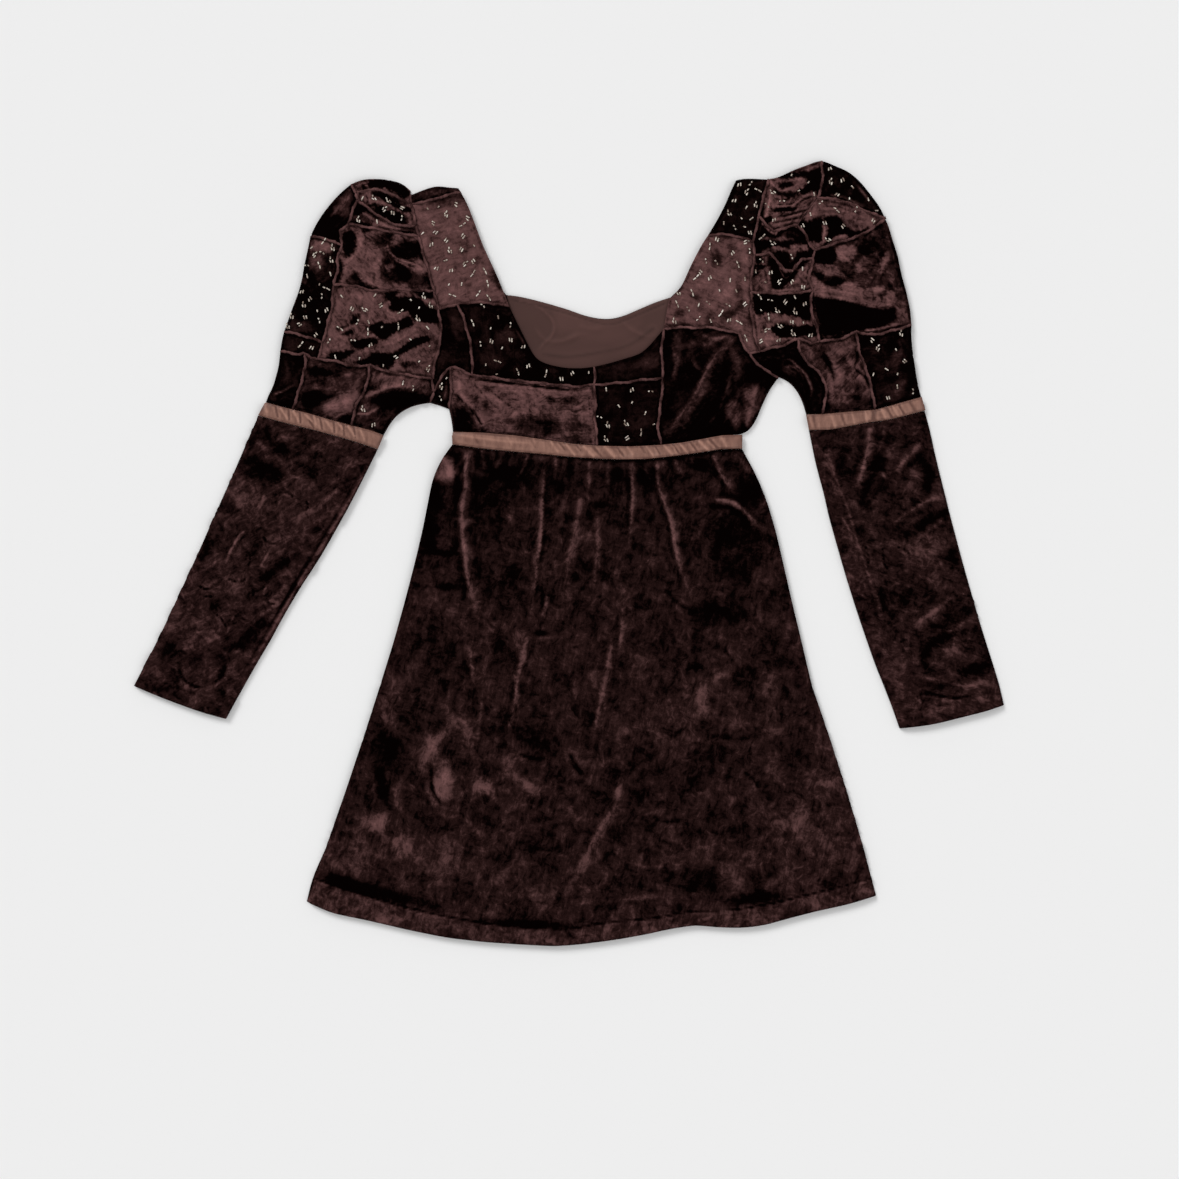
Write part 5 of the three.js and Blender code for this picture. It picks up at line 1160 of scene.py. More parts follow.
        ([(280, 322), (288, 320), (292, 317), (289, 311), (283, 316)], 0.1),
        ([(292, 309), (300, 311), (306, 316), (315, 312), (312, 308), (300, 306)], 0.0),
        ([(328, 353), (340, 359), (358, 352), (366, 340), (358, 334), (354, 346), (342, 341), (333, 343)],
         0.12),
        ([(362, 348), (367, 346), (367, 338), (362, 330), (358, 321), (357, 330), (360, 340)], 0.62),
        ([(274, 319), (284, 314), (292, 306), (300, 304), (308, 304), (316, 309), (324, 309),
          (330, 304), (345, 303), (360, 305), (357, 299), (353, 296), (358, 291), (364, 297),
          (368, 301), (373, 298), (375, 290), (370, 284), (360, 283), (350, 281), (338, 284),
          (328, 286), (316, 288), (304, 291), (292, 291), (281, 297), (276, 306)], 0.68),
        ([(281, 292), (300, 290), (312, 288), (328, 284), (346, 280), (358, 278), (373, 281),
          (377, 272), (368, 266), (358, 260), (344, 257), (326, 255), (312, 252), (300, 250),
          (290, 250), (288, 262), (283, 276)], -0.1),
        ([(377, 310), (386, 300), (390, 280), (390, 266), (376, 270), (373, 282), (377, 292)], 0.45),
    ],
    "puff_front_left": [
        ([(212, 297), (240, 297), (262, 298), (278, 297), (279, 280), (278, 270), (270, 266),
          (262, 271), (250, 273), (238, 276), (226, 276), (219, 273), (213, 279)], -0.05),
        ([(231, 257), (238, 262), (250, 261), (262, 259), (272, 261), (281, 259), (284, 250),
          (276, 248), (266, 249), (252, 247), (242, 248), (235, 252)], 0.0),
    ],
}

SEAM_DIP = 0.6  # how far a patch sinks at its seams, millimetres
SEAM_BREADTH = 2.6  # and within about this distance
BODICE_STEP = 2.1
PUFF_STEP = 1.7
panels = {}
for node, (tone_and_painted_light, mottle, contrast, turn, slot) in PATCHES.items():
    on_sleeve = node.startswith(("puff", "band"))
    panel = fine_panel(node, PUFF_STEP if on_sleeve else BODICE_STEP)
    ease(panel, 10)
    panel["tone_and_painted_light"][:] = tone_and_painted_light
    for outline, tone_and_shading, *edge in BRUSHED.get(node, []):
        brush(panel, outline, tone_and_shading, *edge)
    for path, width, rise, light in PATCH_RIDGES.get(node, []):
        crease(panel, path, width, rise, light)
    for centre, size, turned, light in PATCH_STROKES.get(node, []):
        stroke(panel, centre, size, turned, light)
    off = off_outline(panel["rim"], panel["plan"])
    panel["height"] -= SEAM_DIP * np.exp(-((off / SEAM_BREADTH) ** 2))
    # Painted shade just inside each patch's edge, beside the seam rolls.
    uneven = 0.6 + 0.4 * np.sin(panel["plan"][:, 0] * 0.31 + panel["plan"][:, 1] * 0.23)
    panel["tone_and_painted_light"] -= 0.3 * uneven * np.exp(-(((off - 2.4) / 1.2) ** 2))
    turn_down(panel)
    panels[node] = panel
    piece = cloth_object(f"{node}_cloth", [panel], velvet(f"{node}_velvet", turn, mottle, contrast))
    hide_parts(node)

# ---------------------------------------------------------------- lower sleeves
# Each lower sleeve is one piece of plain velvet folded along its outer edge and seamed under the arm.
# The seam has slipped a little to the front of the inner edge, and the cuff is hemmed by 18 mm.

# Each sleeve ridge's light is a painted highlight on its crest, or painted shade where negative.
SLEEVES = {
    "right": {
        "tone_and_painted_light": 0.34,
        "brushed": [
            ([(-356, 146), (-344, 145), (-330, 129), (-319, 116), (-328, 111), (-344, 124), (-357, 136)],
             0.05),
            ([(-385, 110), (-366, 113), (-352, 104), (-338, 103), (-328, 90), (-340, 84), (-350, 76),
              (-360, 86), (-376, 88)], 0.08),
            ([(-406, 58), (-388, 60), (-374, 50), (-380, 46), (-392, 48), (-406, 52)], 0.1),
            ([(-312, 105), (-298, 98), (-288, 88), (-295, 84), (-304, 95)], 0.1),
            ([(-359, -32), (-344, -17), (-332, -6), (-314, -4), (-322, -14), (-334, -21), (-346, -32)],
             0.03),
            ([(-383, -108), (-371, -88), (-351, -76), (-350, -86), (-357, -97), (-372, -112)], 0.05),
            ([(-418, 22), (-412, 14), (-414, -2), (-422, -10), (-424, 4)], 0.12),
            ([(-412, -116), (-398, -112), (-391, -122), (-396, -138), (-404, -134)], 0.12),
            ([(-444, -66), (-430, -62), (-426, -72), (-438, -82), (-452, -80)], 0.18),
            ([(-470, -112), (-458, -106), (-446, -112), (-452, -122), (-466, -122)], 0.16),
            ([(-300, 16), (-290, 22), (-280, 34), (-286, 36), (-298, 28)], 0.16),
            ([(-344, 132), (-322, 126), (-304, 112), (-296, 118), (-318, 138), (-338, 142)], 0.36),
        ],
        "ridges": [
            ([(-228, 118), (-250, 75), (-300, -10), (-345, -85), (-390, -165)], 1.6, -0.7, -0.3),
            ([(-224, 112), (-247, 70), (-296, -12), (-340, -86), (-386, -166)], 1.8, 0.5, 0.35),
            ([(-262, 74), (-282, 60), (-306, 44), (-318, 34)], 3, 1.0, 0.3),
            ([(-372, 28), (-388, 4), (-395, -16)], 1.7, 1.0, 0.55),
            ([(-349, 70), (-353, 58), (-360, 46)], 1.3, 0.7, 0.4),
            ([(-344, 2), (-350, -8), (-356, -20)], 1.3, 0.6, 0.3),
            ([(-314, -28), (-326, -38), (-342, -54), (-356, -62)], 3.4, 1.0, 0.3),
            ([(-384, -70), (-394, -92), (-410, -98)], 1.6, 0.7, 0.3),
            ([(-376, -108), (-388, -116), (-400, -112)], 2.6, 0.8, 0.25),
            ([(-344, -34), (-350, -44), (-350, -56)], 1.4, 0.6, 0.25),
            ([(-330, -52), (-346, -66), (-362, -74)], 2.4, 0.8, 0.25),
            ([(-306, 86), (-322, 92), (-314, 104)], 1.6, 0.7, 0.3),
            ([(-404, -8), (-412, -16), (-424, -22)], 1.6, 0.6, 0.25),
            ([(-436, -88), (-420, -94), (-404, -106)], 1.8, 0.7, 0.2),
            ([(-302, 60), (-300, 54), (-304, 48)], 1.1, -0.6, -0.5),
            ([(-392, -29), (-378, -33), (-368, -26)], 1.2, -0.6, -0.5),
            ([(-427, -36), (-416, -41), (-405, -37)], 1.2, -0.6, -0.5),
            ([(-424, -46), (-414, -50), (-403, -46)], 1.1, -0.5, -0.4),
            ([(-365, -36), (-362, -44), (-364, -54)], 1.1, -0.6, -0.5),
            ([(-352, 20), (-344, 12), (-330, 12)], 1.2, -0.5, -0.35),
            ([(-449, -126), (-443, -144), (-428, -153), (-414, -152)], 1.5, -0.5, -0.5),
            ([(-410, -150), (-399, -141), (-392, -122)], 2.6, -0.5, -0.4),
            ([(-458, -120), (-446, -112), (-438, -116)], 1.4, -0.5, -0.35),
            ([(-352, -52), (-340, -58), (-328, -54)], 1.1, -0.5, -0.35),
            ([(-340, 66), (-326, 70), (-312, 62)], 1.2, -0.5, -0.3),
            ([(-398, 96), (-386, 78), (-378, 70)], 1.6, 0.6, 0.2),
            ([(-408, -68), (-398, -76), (-392, -88)], 1.2, -0.5, -0.4),
            ([(-372, 6), (-366, -6), (-370, -20)], 1.2, -0.5, -0.35),
            ([(-492, -135), (-470, -146), (-440, -158), (-410, -168), (-388, -172)], 1.4, -0.7, -0.15),
        ],
        "strokes": [
            ((-366, 62), (30, 12), 20, 0.08), ((-440, -80), (26, 30), 30, 0.1),
            ((-334, 10), (14, 18), -30, 0.08),
            ((-350, -40), (16, 40), -30, -0.06), ((-460, -146), (24, 10), -20, 0.1),
            ((-396, 70), (10, 24), -25, -0.1),
        ],
    },
    "left": {
        "tone_and_painted_light": 0.31,
        "brushed": [
            ([(301, 112), (314, 118), (323, 106), (319, 94), (314, 88), (306, 92)], 0.05),
            ([(370, 142), (378, 137), (365, 119), (362, 101), (352, 84), (345, 96), (352, 113),
              (358, 132)], 0.02),
            ([(329, 72), (344, 84), (361, 87), (371, 84), (364, 72), (352, 66), (340, 52), (332, 60)],
             0.05),
            ([(386, 110), (400, 114), (414, 105), (421, 84), (413, 71), (404, 76), (409, 94),
              (398, 103), (387, 98)], 0.06),
            ([(436, 52), (418, 47), (400, 37), (385, 25), (380, 16), (396, 21), (412, 33), (431, 44)],
             0.04),
            ([(360, 36), (374, 32), (377, 22), (366, 20)], 0.1),
            ([(325, 33), (336, 32), (339, 19), (328, 18)], 0.1),
            ([(429, 3), (442, 8), (449, -3), (447, -18), (436, -12), (430, -6)], 0.06),
            ([(466, -61), (450, -66), (436, -71), (420, -79), (415, -89), (430, -86), (446, -80),
              (463, -71)], 0.06),
            ([(400, -95), (410, -102), (420, -98), (436, -92), (439, -97), (420, -106), (413, -116),
              (411, -129), (404, -124)], 0.03),
            ([(440, -134), (454, -131), (468, -124), (483, -117), (486, -130), (474, -138), (456, -142)],
             0.02),
            ([(356, -44), (363, -46), (368, -60), (376, -75), (367, -73), (360, -62)], 0.08),
            ([(404, -36), (414, -38), (420, -50), (416, -58), (408, -48)], 0.12),
            ([(298, 118), (304, 96), (314, 66), (308, 66), (298, 92), (290, 116)], 0.42),
        ],
        "ridges": [
            ([(296, 126), (305, 90), (320, 50), (332, 10), (345, -28), (356, -70), (376, -96),
              (396, -128), (401, -172)], 1.5, 0.5, 0.24),
            ([(346, 150), (343, 122), (337, 96), (328, 66)], 4.4, 1.5, 0.5),
            ([(405, 128), (390, 112), (373, 92)], 4.0, 1.2, 0.4),
            ([(432, 68), (410, 60), (388, 46), (362, 26)], 3.2, 1.1, 0.32),
            ([(432, 40), (412, 26), (394, 8)], 3.0, 0.8, 0.2),
            ([(444, -46), (430, -58), (414, -70), (390, -88)], 4.6, 1.2, 0.3),
            ([(456, -78), (444, -86), (430, -92)], 3, 0.8, 0.2),
            ([(404, -143), (430, -146), (456, -152), (484, -147)], 3.0, 1.1, 0.32),
            ([(350, -34), (354, -52), (359, -74)], 1.8, 0.8, 0.3),
            ([(362, 148), (360, 130), (352, 112)], 2.0, 0.7, 0.2),
            ([(344, 92), (356, 94), (366, 82)], 1.8, 0.8, 0.3),
            ([(404, -158), (424, -163), (446, -166), (472, -160)], 1.8, -0.8, -0.5),
            ([(376, 8), (388, 2), (392, -10)], 1.2, -0.5, -0.4),
            ([(372, -44), (384, -52), (386, -64)], 1.2, -0.5, -0.35),
            ([(360, 8), (362, -12), (370, -22)], 1.2, -0.5, -0.4),
            ([(378, -102), (388, -100), (394, -110)], 1.2, -0.5, -0.4),
            ([(340, 10), (344, -6), (342, -18)], 1.1, -0.5, -0.4),
            ([(398, -178), (403, -170), (409, -160)], 1.1, 0.6, 0.35),
            ([(410, -178), (403, -170), (394, -164)], 1.1, 0.6, 0.3),
            ([(402, -182), (403, -170), (401, -158)], 1.1, 0.5, 0.3),
            ([(312, 44), (322, 26), (326, 10)], 1.4, 0.6, 0.2),
            ([(410, 4), (424, -6), (430, -22)], 2.0, 0.7, 0.18),
            ([(366, -30), (378, -34), (390, -28)], 1.4, 0.6, 0.2),
            ([(374, -183), (400, -180), (430, -174), (460, -167), (494, -155)], 1.4, -0.7, -0.15),
        ],
        "strokes": [
            ((370, 120), (16, 20), 0, 0.06), ((412, 10), (22, 16), 20, 0.1),
            ((436, -110), (20, 12), 0, 0.14),
            ((330, -20), (10, 50), 15, 0.06), ((440, -172), (40, 6), 12, 0.08),
            ((392, -170), (14, 8), 0, 0.06),
        ],
    },
}

sleeve_velvet = {
    "right": velvet("sleeve_velvet_right", 62, 0.55, 1.25),
    "left": velvet("sleeve_velvet_left", 105, 0.55, 1.25),
}
SLEEVE_STEP = 2.5
SLEEVE_EDGE = 4.2  # how softly a brushed area of the sleeve ends
for side, form in SLEEVES.items():
    upper = fine_panel(f"lower_sleeve_{side}", SLEEVE_STEP)
    ease(upper, 14)
    upper["tone_and_painted_light"][:] = form["tone_and_painted_light"]
    for outline, tone_and_shading in form["brushed"]:
        brush(upper, outline, tone_and_shading, SLEEVE_EDGE)
    for path, width, rise, light in form["ridges"]:
        crease(upper, path, width, rise, light, fade=(0.1, 0.25))
    for centre, size, turn, light in form["strokes"]:
        stroke(upper, centre, size, turn, light)
    turn_down(upper)
    under = lay_back(f"lower_sleeve_back_{side}")
    piece = cloth_object(f"lower_sleeve_{side}_cloth", [upper, under], sleeve_velvet[side])
    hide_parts(f"lower_sleeve_{side}", f"lower_sleeve_back_{side}")
    panels[f"lower_sleeve_{side}"] = upper

# ---------------------------------------------------------------- rolled patch seams
# Neighbouring patches are overlocked together with the seam on the right side, so each seam stands up
# as a thin soft roll. It wavers a little, and is pinched where the stitches pull.

ROLL_WIDTH = 1.7  # half breadth, millimetres
ROLL_RISE = 1.5
SEAM_REACH = 1.7  # outlines nearer than this to each other share a seam
SHORTEST_RUN = 4  # points of the shortest seam that is rolled
ROLL_SECTION = [
    # across the seam, up from the cloth
    (-1.0, -0.9), (-0.95, 0.15), (-0.6, 0.85), (-0.2, 0.8), (0.2, 1.0), (0.62, 0.9), (0.95, 0.2),
    (1.0, -0.9),
]

roll_velvet = velvet("seam_roll_velvet", 0, 0.35)


def surface_of(panel):
    """A panel's upper side, to find heights on."""
    points = np.column_stack([panel["plan"], panel["height"]])
    return BVHTree.FromPolygons(points.tolist(), panel["triangles"].tolist())


def shared_runs(first, second):
    """The stretches of the first outline that lie along the second one."""
    close = off_outline(second, first) < SEAM_REACH
    if close.all() or not close.any():
        return []
    start = next(i for i in range(len(close)) if close[i] and not close[i - 1])
    order = [(start + k) % len(close) for k in range(len(close))]
    runs, run = [], []
    for i in order:
        if close[i]:
            run.append(first[i])
        elif run:
            runs.append(run)
            run = []
    if run:
        runs.append(run)
    return [np.array(run) for run in runs if len(run) >= SHORTEST_RUN]


def seam_roll(path, surfaces, draw):
    """Points and faces of one roll along a seam, lying on the patches that it joins."""
    way = np.gradient(path, axis=0)
    way /= np.hypot(*way.T)[:, None]
    left = np.column_stack([-way[:, 1], way[:, 0]])
    phase = draw.uniform(0, 6)
    points = []
    for k, (here, across) in enumerate(zip(path, left)):
        sway = 0.5 * math.sin(k * 0.45 + phase) + 0.2 * math.sin(k * 1.3 + phase * 2)
        swell = 1 + 0.16 * math.sin(k * 0.9 + phase) + 0.14 * math.sin(k * 2.3)
        middle = here + across * sway
        heights = [surface.find_nearest(Vector((*middle, 12)))[0].z for surface in surfaces]
        ground = max(heights) * 0.7 + min(heights) * 0.3
        end = min(k, len(path) - 1 - k)
        taper = min(1.0, 0.55 + 0.25 * end)
        for side, up in ROLL_SECTION:
            flat = middle + across * side * ROLL_WIDTH * swell * taper
            points.append((*flat, ground + up * ROLL_RISE * swell * taper))
    n = len(ROLL_SECTION)
    faces = [
        (k * n + j, k * n + (j + 1) % n, (k + 1) * n + (j + 1) % n, (k + 1) * n + j)
        for k in range(len(path) - 1) for j in range(n)
    ]
    return points, [*faces, tuple(range(n - 1, -1, -1)), tuple(range(len(points) - n, len(points)))]


def sew_rolls(name, pairs):
    """The seam rolls between the two patches of each pair, as one piece."""
    draw = random.Random(name)
    surfaces = {node: surface_of(panels[node]) for node in {node for pair in pairs for node in pair}}
    points, faces = [], []
    for first, second in pairs:
        for run in shared_runs(panels[first]["rim"], panels[second]["rim"]):
            made, walls = seam_roll(run, [surfaces[first], surfaces[second]], draw)
            faces += [tuple(v + len(points) for v in wall) for wall in walls]
            points += made
    mesh = bpy.data.meshes.new(name)
    mesh.from_pydata((np.array(points) * MM).tolist(), [], faces)
    rolls = bmesh.new()
    rolls.from_mesh(mesh)
    bmesh.ops.recalc_face_normals(rolls, faces=rolls.faces)
    rolls.to_mesh(mesh)
    rolls.free()
    # The roll's tone is painted lighter towards its top, a painted highlight, with a wavering tone along it.
    rise = np.tile([up for _, up in ROLL_SECTION], len(points) // len(ROLL_SECTION))
    patchy = 0.2 * np.sin(np.array(points)[:, 0] * 0.19 + np.array(points)[:, 1] * 0.27)
    tone_and_painted_light = 0.35 + 0.45 * np.clip(rise, 0, 1) + patchy
    mesh.attributes.new("tone_and_painted_light", "FLOAT", "POINT").data.foreach_set("value", tone_and_painted_light.astype(np.float32))
    mesh.materials.append(roll_velvet)
    mesh.shade_smooth()
    piece = bpy.data.objects.new(name, mesh)
    bpy.context.scene.collection.objects.link(piece)
    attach(piece, "root")


bodice = [node for node in PATCHES if node[:4] not in ("puff", "band")]
right_puff = [node for node in PATCHES if node.endswith("right") and node not in bodice]
left_puff = [node for node in PATCHES if node.endswith("left") and node not in bodice]
sew_rolls("bodice_seam_rolls", list(combinations(bodice, 2)))
sew_rolls("right_puff_seam_rolls", list(combinations(right_puff, 2)))
hidden = {("puff_cap_top_left", "puff_fold_left")}  # this seam is folded under the gathers
sew_rolls("left_puff_seam_rolls", [pair for pair in combinations(left_puff, 2) if pair not in hidden])
sew_rolls("right_armhole_rolls", list(product(bodice, right_puff)))
sew_rolls("left_armhole_rolls", list(product(bodice, left_puff)))

# ---------------------------------------------------------------- satin ribbons
# Folded satin ribbon, 15 mm wide, sewn on over the waist seam and the foot of each puff.
# Its ground is ruched a little, so that short slanting wrinkles cross it, and both edges are stitched.

satin = bpy.data.materials.new("ribbon_satin")
satin.use_nodes = True
tree = satin.node_tree
place = wire(tree, "ShaderNodeTexCoord").outputs["Object"]
slant = wire(tree, "ShaderNodeMapping", Vector=place, Rotation=(0, 0, math.radians(28)),
             Scale=(1.0, 0.28, 1.0)).outputs[0]
wrinkle = wire(tree, "ShaderNodeTexNoise", Vector=slant, Scale=210.0, Detail=3.0, Distortion=0.4).outputs[0]
threads = wire(tree, "ShaderNodeTexNoise", Vector=slant, Scale=2400.0, Detail=1.0).outputs[0]
tone_and_shading = wire(tree, "ShaderNodeAttribute", {"attribute_name": "tone_and_painted_light"}).outputs["Fac"]
# The satin's colour is painted sheen: the tone attribute's highlights and shade, a slanting wrinkle noise
# and fine threads make it lighter or darker between a deep and a bright brown.
lit = maths(tree, "ADD", tone_and_shading, maths(tree, "MULTIPLY_ADD", wrinkle, 0.6, -0.3))
lit = maths(tree, "ADD", lit, maths(tree, "MULTIPLY_ADD", threads, 0.2, -0.1))
lit = smooth_range(tree, lit, 0.1, 0.95)
toned = blend_colours(tree, lit, (0.112, 0.048, 0.035, 1), (0.345, 0.178, 0.132, 1))
bump = wire(tree, "ShaderNodeBump", Strength=0.5, Distance=0.0008, Height=wrinkle).outputs[0]
shader = tree.nodes["Principled BSDF"]
tree.links.new(toned, shader.inputs["Base Color"])
tree.links.new(bump, shader.inputs["Normal"])
shader.inputs["Roughness"].default_value = 0.42
shader.inputs["Specular IOR Level"].default_value = 0.3

RIBBONS = {
    # node: each wrinkle's upper and lower end, half breadth, rise, light (painted sheen on its crest,
    # painted shade where negative)
    "ribbon_waist": [
        ([(-134, 137), (-108, 133), (-76, 129), (-40, 126)], 2.2, 0.25, 0.16),
        ([(-126, 141), (-96, 137), (-66, 134)], 1.0, -0.15, -0.14),
        ([(-110, 136), (-104, 126)], 1.6, -0.15, -0.12),
        ([(-70, 133), (-64, 122)], 1.4, 0.15, 0.1), ([(-44, 131), (-38, 120)], 1.2, -0.15, -0.14),
        ([(-22, 130), (-12, 115)], 1.6, 0.35, 0.22), ([(-12, 128), (-4, 118)], 1.0, -0.4, -0.3),
        ([(-4, 126), (8, 111)], 1.6, 0.5, 0.28), ([(8, 125), (14, 117)], 0.9, -0.4, -0.3),
        ([(16, 124), (30, 110)], 2.4, 0.45, 0.3), ([(26, 124), (38, 110)], 1.2, -0.45, -0.35),
        ([(40, 124), (54, 109)], 2.6, 0.5, 0.34), ([(54, 123), (64, 110)], 1.2, -0.45, -0.35),
        ([(66, 124), (74, 112)], 1.6, 0.3, 0.2), ([(82, 124), (88, 114)], 1.0, -0.3, -0.22),
        ([(88, 124), (98, 110)], 1.4, 0.4, 0.24), ([(99, 123), (105, 113)], 0.9, -0.35, -0.26),
        ([(108, 125), (120, 112)], 2.0, 0.5, 0.3), ([(118, 127), (127, 114)], 1.0, -0.45, -0.34),
        ([(126, 127), (138, 113)], 1.5, 0.5, 0.3), ([(138, 129), (148, 116)], 1.1, -0.45, -0.36),
        ([(148, 130), (162, 116)], 2.0, 0.55, 0.34), ([(160, 132), (172, 119)], 1.3, -0.5, -0.38),
        ([(174, 134), (182, 121)], 2.0, 0.3, 0.2),
    ],
    "ribbon_sleeve_right": [
        ([(-350, 173), (-346, 160)], 2.2, 0.3, 0.2), ([(-337, 170), (-334, 155)], 1.2, -0.5, -0.4),
        ([(-332, 168), (-322, 153)], 1.4, 0.5, 0.3), ([(-322, 166), (-321, 152)], 1.1, -0.6, -0.5),
        ([(-317, 165), (-309, 150)], 1.6, 0.5, 0.35), ([(-309, 163), (-308, 148)], 1.1, -0.6, -0.5),
        ([(-304, 161), (-294, 150)], 1.2, 0.5, 0.3), ([(-299, 154), (-292, 143)], 1.0, -0.5, -0.4),
        ([(-293, 159), (-290, 146)], 1.3, 0.5, 0.35), ([(-286, 157), (-283, 141)], 1.2, -0.6, -0.5),
        ([(-281, 155), (-271, 141)], 2.0, 0.4, 0.25), ([(-270, 152), (-269, 137)], 1.0, -0.5, -0.4),
        ([(-266, 151), (-257, 140)], 1.4, 0.5, 0.3), ([(-259, 149), (-258, 134)], 1.1, -0.6, -0.5),
        ([(-254, 147), (-245, 133)], 1.5, 0.5, 0.35), ([(-247, 146), (-245, 131)], 0.9, -0.5, -0.35),
        ([(-240, 144), (-234, 128)], 1.6, 0.3, 0.25),
    ],
    "ribbon_sleeve_left": [
        ([(350, 165), (349, 152)], 2.4, -0.8, -0.6), ([(358, 167), (364, 154)], 1.8, 0.6, 0.4),
        ([(364, 168), (371, 155)], 1.4, -0.6, -0.5), ([(371, 170), (378, 157)], 1.6, 0.6, 0.35),
        ([(378, 171), (385, 159)], 1.2, -0.5, -0.4), ([(300, 160), (306, 144)], 2.0, 0.3, 0.2),
        ([(390, 175), (398, 162)], 1.8, -0.3, -0.2), ([(280, 159), (283, 143)], 1.8, -0.3, -0.2),
        ([(312, 161), (317, 146)], 1.4, -0.3, -0.25), ([(324, 163), (328, 148)], 1.8, 0.3, 0.2),
        ([(340, 164), (342, 150)], 1.4, 0.4, 0.25),
    ],
}
RIBBON_STEP = 1.3
RIBBON_LIGHT = 1.5  # how much stronger a wrinkle's painted sheen and shade are in satin than in velvet
for node, ridges in RIBBONS.items():
    upper = fine_panel(node, RIBBON_STEP)
    ease(upper, 8)
    off = off_outline(upper["rim"], upper["plan"])
    upper["tone_and_painted_light"][:] = 0.5
    for path, width, rise, light in ridges:
        crease(upper, path, width, rise, light * RIBBON_LIGHT, fade=(0.1, 0.1))
    # The stitched lines and the edges sink a little and are darkened with painted shade.
    upper["height"] -= 0.35 * np.exp(-(((off - 1.7) / 0.7) ** 2)) + 0.5 * np.exp(-((off / 0.6) ** 2))
    upper["tone_and_painted_light"] -= 0.25 * np.exp(-(((off - 1.7) / 0.7) ** 2)) + 0.2 * np.exp(-((off / 0.7) ** 2))
    turn_down(upper)
    under = fine_panel(f"{node}_back", 2 * RIBBON_STEP)
    under["height"][:] = PILE_CLOTH
    under["tone_and_painted_light"][:] = 0.5
    piece = cloth_object(f"{node}_satin", [upper, under], satin, SATIN_CLOTH)
    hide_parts(node, f"{node}_back")

# ---------------------------------------------------------------- bugle beads
# Short glass bugle beads, cream and pale gold, are sewn singly and in twos and threes
# over some of the patches, at all angles, before the patches are joined.

bead_glass = bpy.data.materials.new("bead_glass")
bead_glass.use_nodes = True
tree = bead_glass.node_tree
place = wire(tree, "ShaderNodeTexCoord").outputs["Object"]
# Painted glints: each bead's glass is lighter in spots, from a dull gold to cream.
glint = wire(tree, "ShaderNodeTexNoise", Vector=place, Scale=330.0, Detail=1.0).outputs[0]
glint = smooth_range(tree, glint, 0.36, 0.64)
toned = blend_colours(tree, glint, (0.22, 0.155, 0.12, 1), (0.64, 0.57, 0.49, 1))
tree.links.new(toned, tree.nodes["Principled BSDF"].inputs["Base Color"])
tree.nodes["Principled BSDF"].inputs["Roughness"].default_value = 0.25

BEAD_LENGTH = 4.2
BEAD_RADIUS = 0.78
BEAD_SIDES = 6
PLACES_TRIED = 1500
OFF_SEAM = 4.5  # no cluster lies nearer than this to its patch's edge, millimetres
APART = (13.0, 7.0)  # clusters' least distance at the first place tried and at the last
BEADED = {
    # node: clusters
    "strap_right": 28, "bust_right": 19, "midriff_centre": 13, "strap_left": 30, "shoulder_left": 14,
    "gusset_right": 3, "puff_gather_right": 7, "puff_wedge_right": 2, "puff_outer_right": 24,
    "puff_strip_right": 2,
    "puff_front_right": 29, "band_inner_right": 4, "puff_cap_top_left": 8, "puff_cap_side_left": 8,
    "puff_fold_left": 9, "puff_gather_top_left": 3, "puff_gather_left": 8, "puff_front_left": 17,
    "band_outer_left": 11,
}
BEAD_GROUPS = [
    # each bead's place beside the first, its turn and its length as a share of the longest
    [((0, 0), 0, 1.0)],
    [((0, 0), 0, 0.6)],
    [((0, 0), 0, 0.95), ((0.6, 2.7), 6, 0.9)],
    [((0, 0), 0, 0.85), ((-0.8, 2.9), -14, 0.8)],
    [((0, 0), 0, 0.9), ((4.9, 0.9), 12, 0.75)],
    [((0, 0), 0, 0.8), ((0.8, 2.8), 20, 0.8), ((4.6, 1.9), -10, 0.6)],
    [((0, 0), 0, 0.5), ((3.8, 1.6), 50, 0.45)],
]

bpy.ops.mesh.primitive_cylinder_add(vertices=BEAD_SIDES, radius=BEAD_RADIUS * MM, depth=BEAD_LENGTH * MM)
bead = bpy.context.object
bead.name = "bead"
bpy.ops.object.mode_set(mode="EDIT")
bpy.ops.mesh.select_mode(type="FACE")
bpy.ops.mesh.select_all(action="DESELECT")
bpy.ops.object.mode_set(mode="OBJECT")
for face in bead.data.polygons:
    face.select = abs(face.normal.z) > 0.5
bpy.ops.object.mode_set(mode="EDIT")
bpy.ops.mesh.inset(thickness=BEAD_RADIUS * 0.45 * MM, depth=BEAD_RADIUS * 0.5 * MM)
bpy.ops.object.mode_set(mode="OBJECT")
bpy.ops.object.select_all(action="DESELECT")


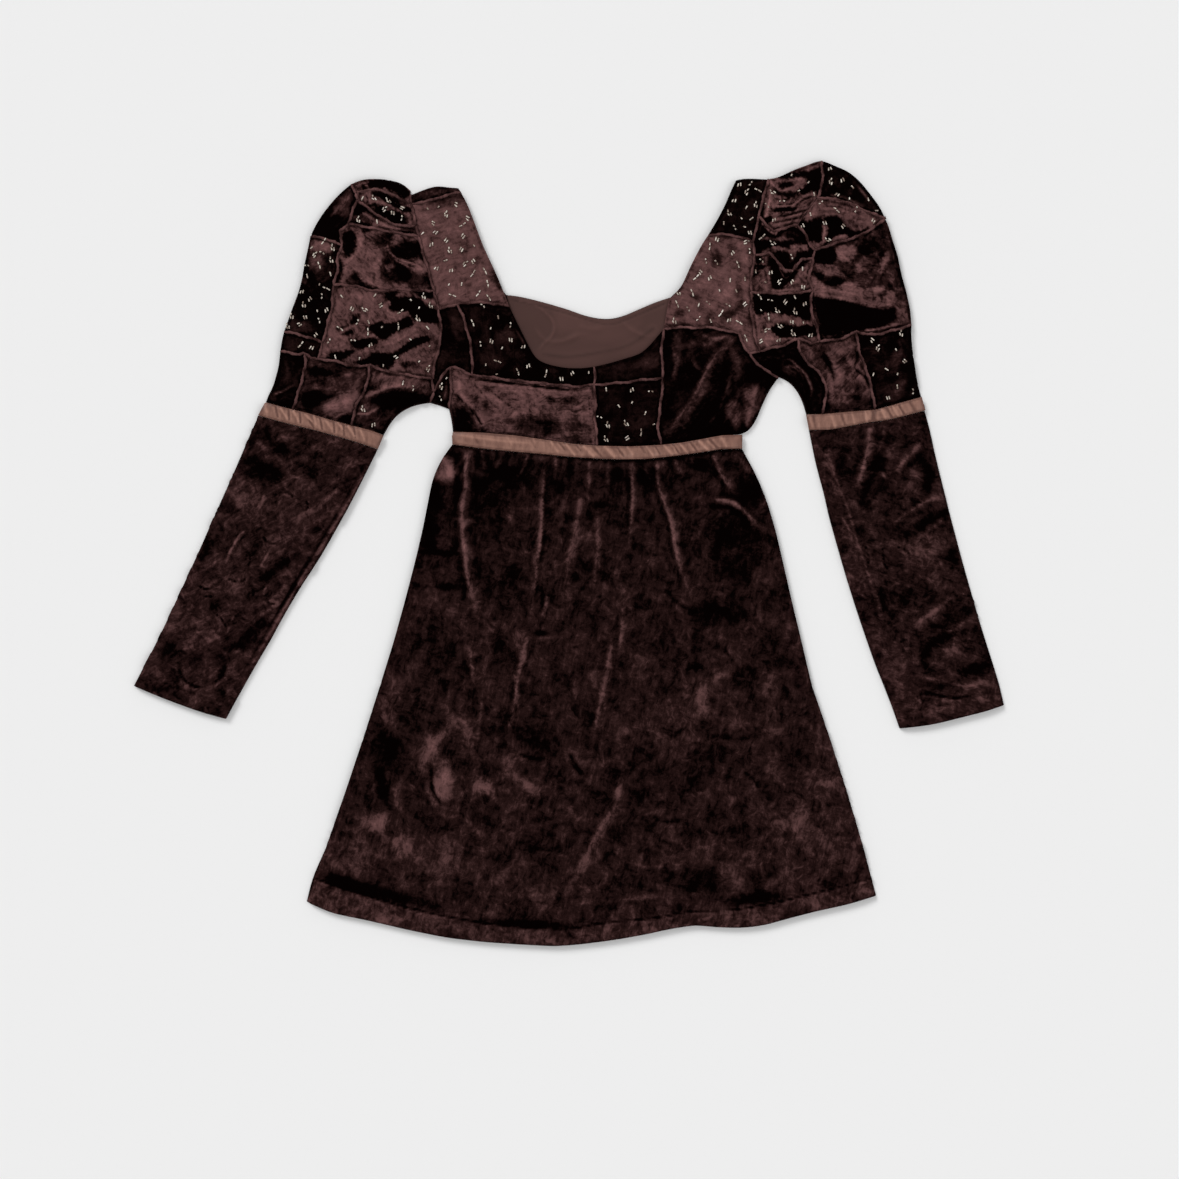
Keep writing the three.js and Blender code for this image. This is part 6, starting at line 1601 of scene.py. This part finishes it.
def string_beads(node, clusters):
    """The beads of one patch as one piece, each a copy of the bead laid along the cloth."""
    panel = panels[node]
    draw = random.Random(f"beads on {node}")
    surface = surface_of(panel)
    low, high = panel["rim"].min(0), panel["rim"].max(0)
    places = np.array([
        (draw.uniform(low[0], high[0]), draw.uniform(low[1], high[1])) for _ in range(PLACES_TRIED)
    ])
    places = places[inside(panel["rim"], places)]
    places = places[off_outline(panel["rim"], places) > OFF_SEAM]
    spots = []
    for tried, spot in enumerate(places):
        apart = APART[0] + (APART[1] - APART[0]) * tried / len(places)
        if len(spots) < clusters and all(np.hypot(*(spot - other)) > apart for other in spots):
            spots.append(spot)
    sewn = bmesh.new()
    for spot in spots:
        heading = math.radians(draw.choice((60, 110, 75, 140, 30, 100, 90)) + draw.uniform(-18, 18))
        for offset, turn, share in draw.choice(BEAD_GROUPS):
            along = Vector((math.cos(heading), math.sin(heading)))
            at = Vector(spot.tolist()) + along * offset[0] + Vector((-along.y, along.x)) * offset[1]
            hit, up = surface.ray_cast(Vector((*at, 100)), Vector((0, 0, -1)))[:2]
            if hit is None:
                continue
            way = Vector((math.cos(heading + math.radians(turn)), math.sin(heading + math.radians(turn)), 0))
            way = (way - up * way.dot(up)).normalized()
            turned = Matrix((up.cross(way), up, way)).transposed().to_4x4()
            sized = Matrix.Diagonal((1, 1, share * draw.uniform(0.85, 1.1), 1))
            first = len(sewn.verts)
            sewn.from_mesh(bead.data)
            sewn.verts.ensure_lookup_table()
            placed = Matrix.Translation((hit + up * BEAD_RADIUS * 0.75) * MM) @ turned @ sized
            bmesh.ops.transform(sewn, matrix=placed, verts=sewn.verts[first:])
    mesh = bpy.data.meshes.new(f"{node}_beads")
    sewn.to_mesh(mesh)
    sewn.free()
    mesh.materials.append(bead_glass)
    piece = bpy.data.objects.new(f"{node}_beads", mesh)
    bpy.context.scene.collection.objects.link(piece)
    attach(piece, "root")


for node, clusters in BEADED.items():
    string_beads(node, clusters)
bpy.data.objects.remove(bead)
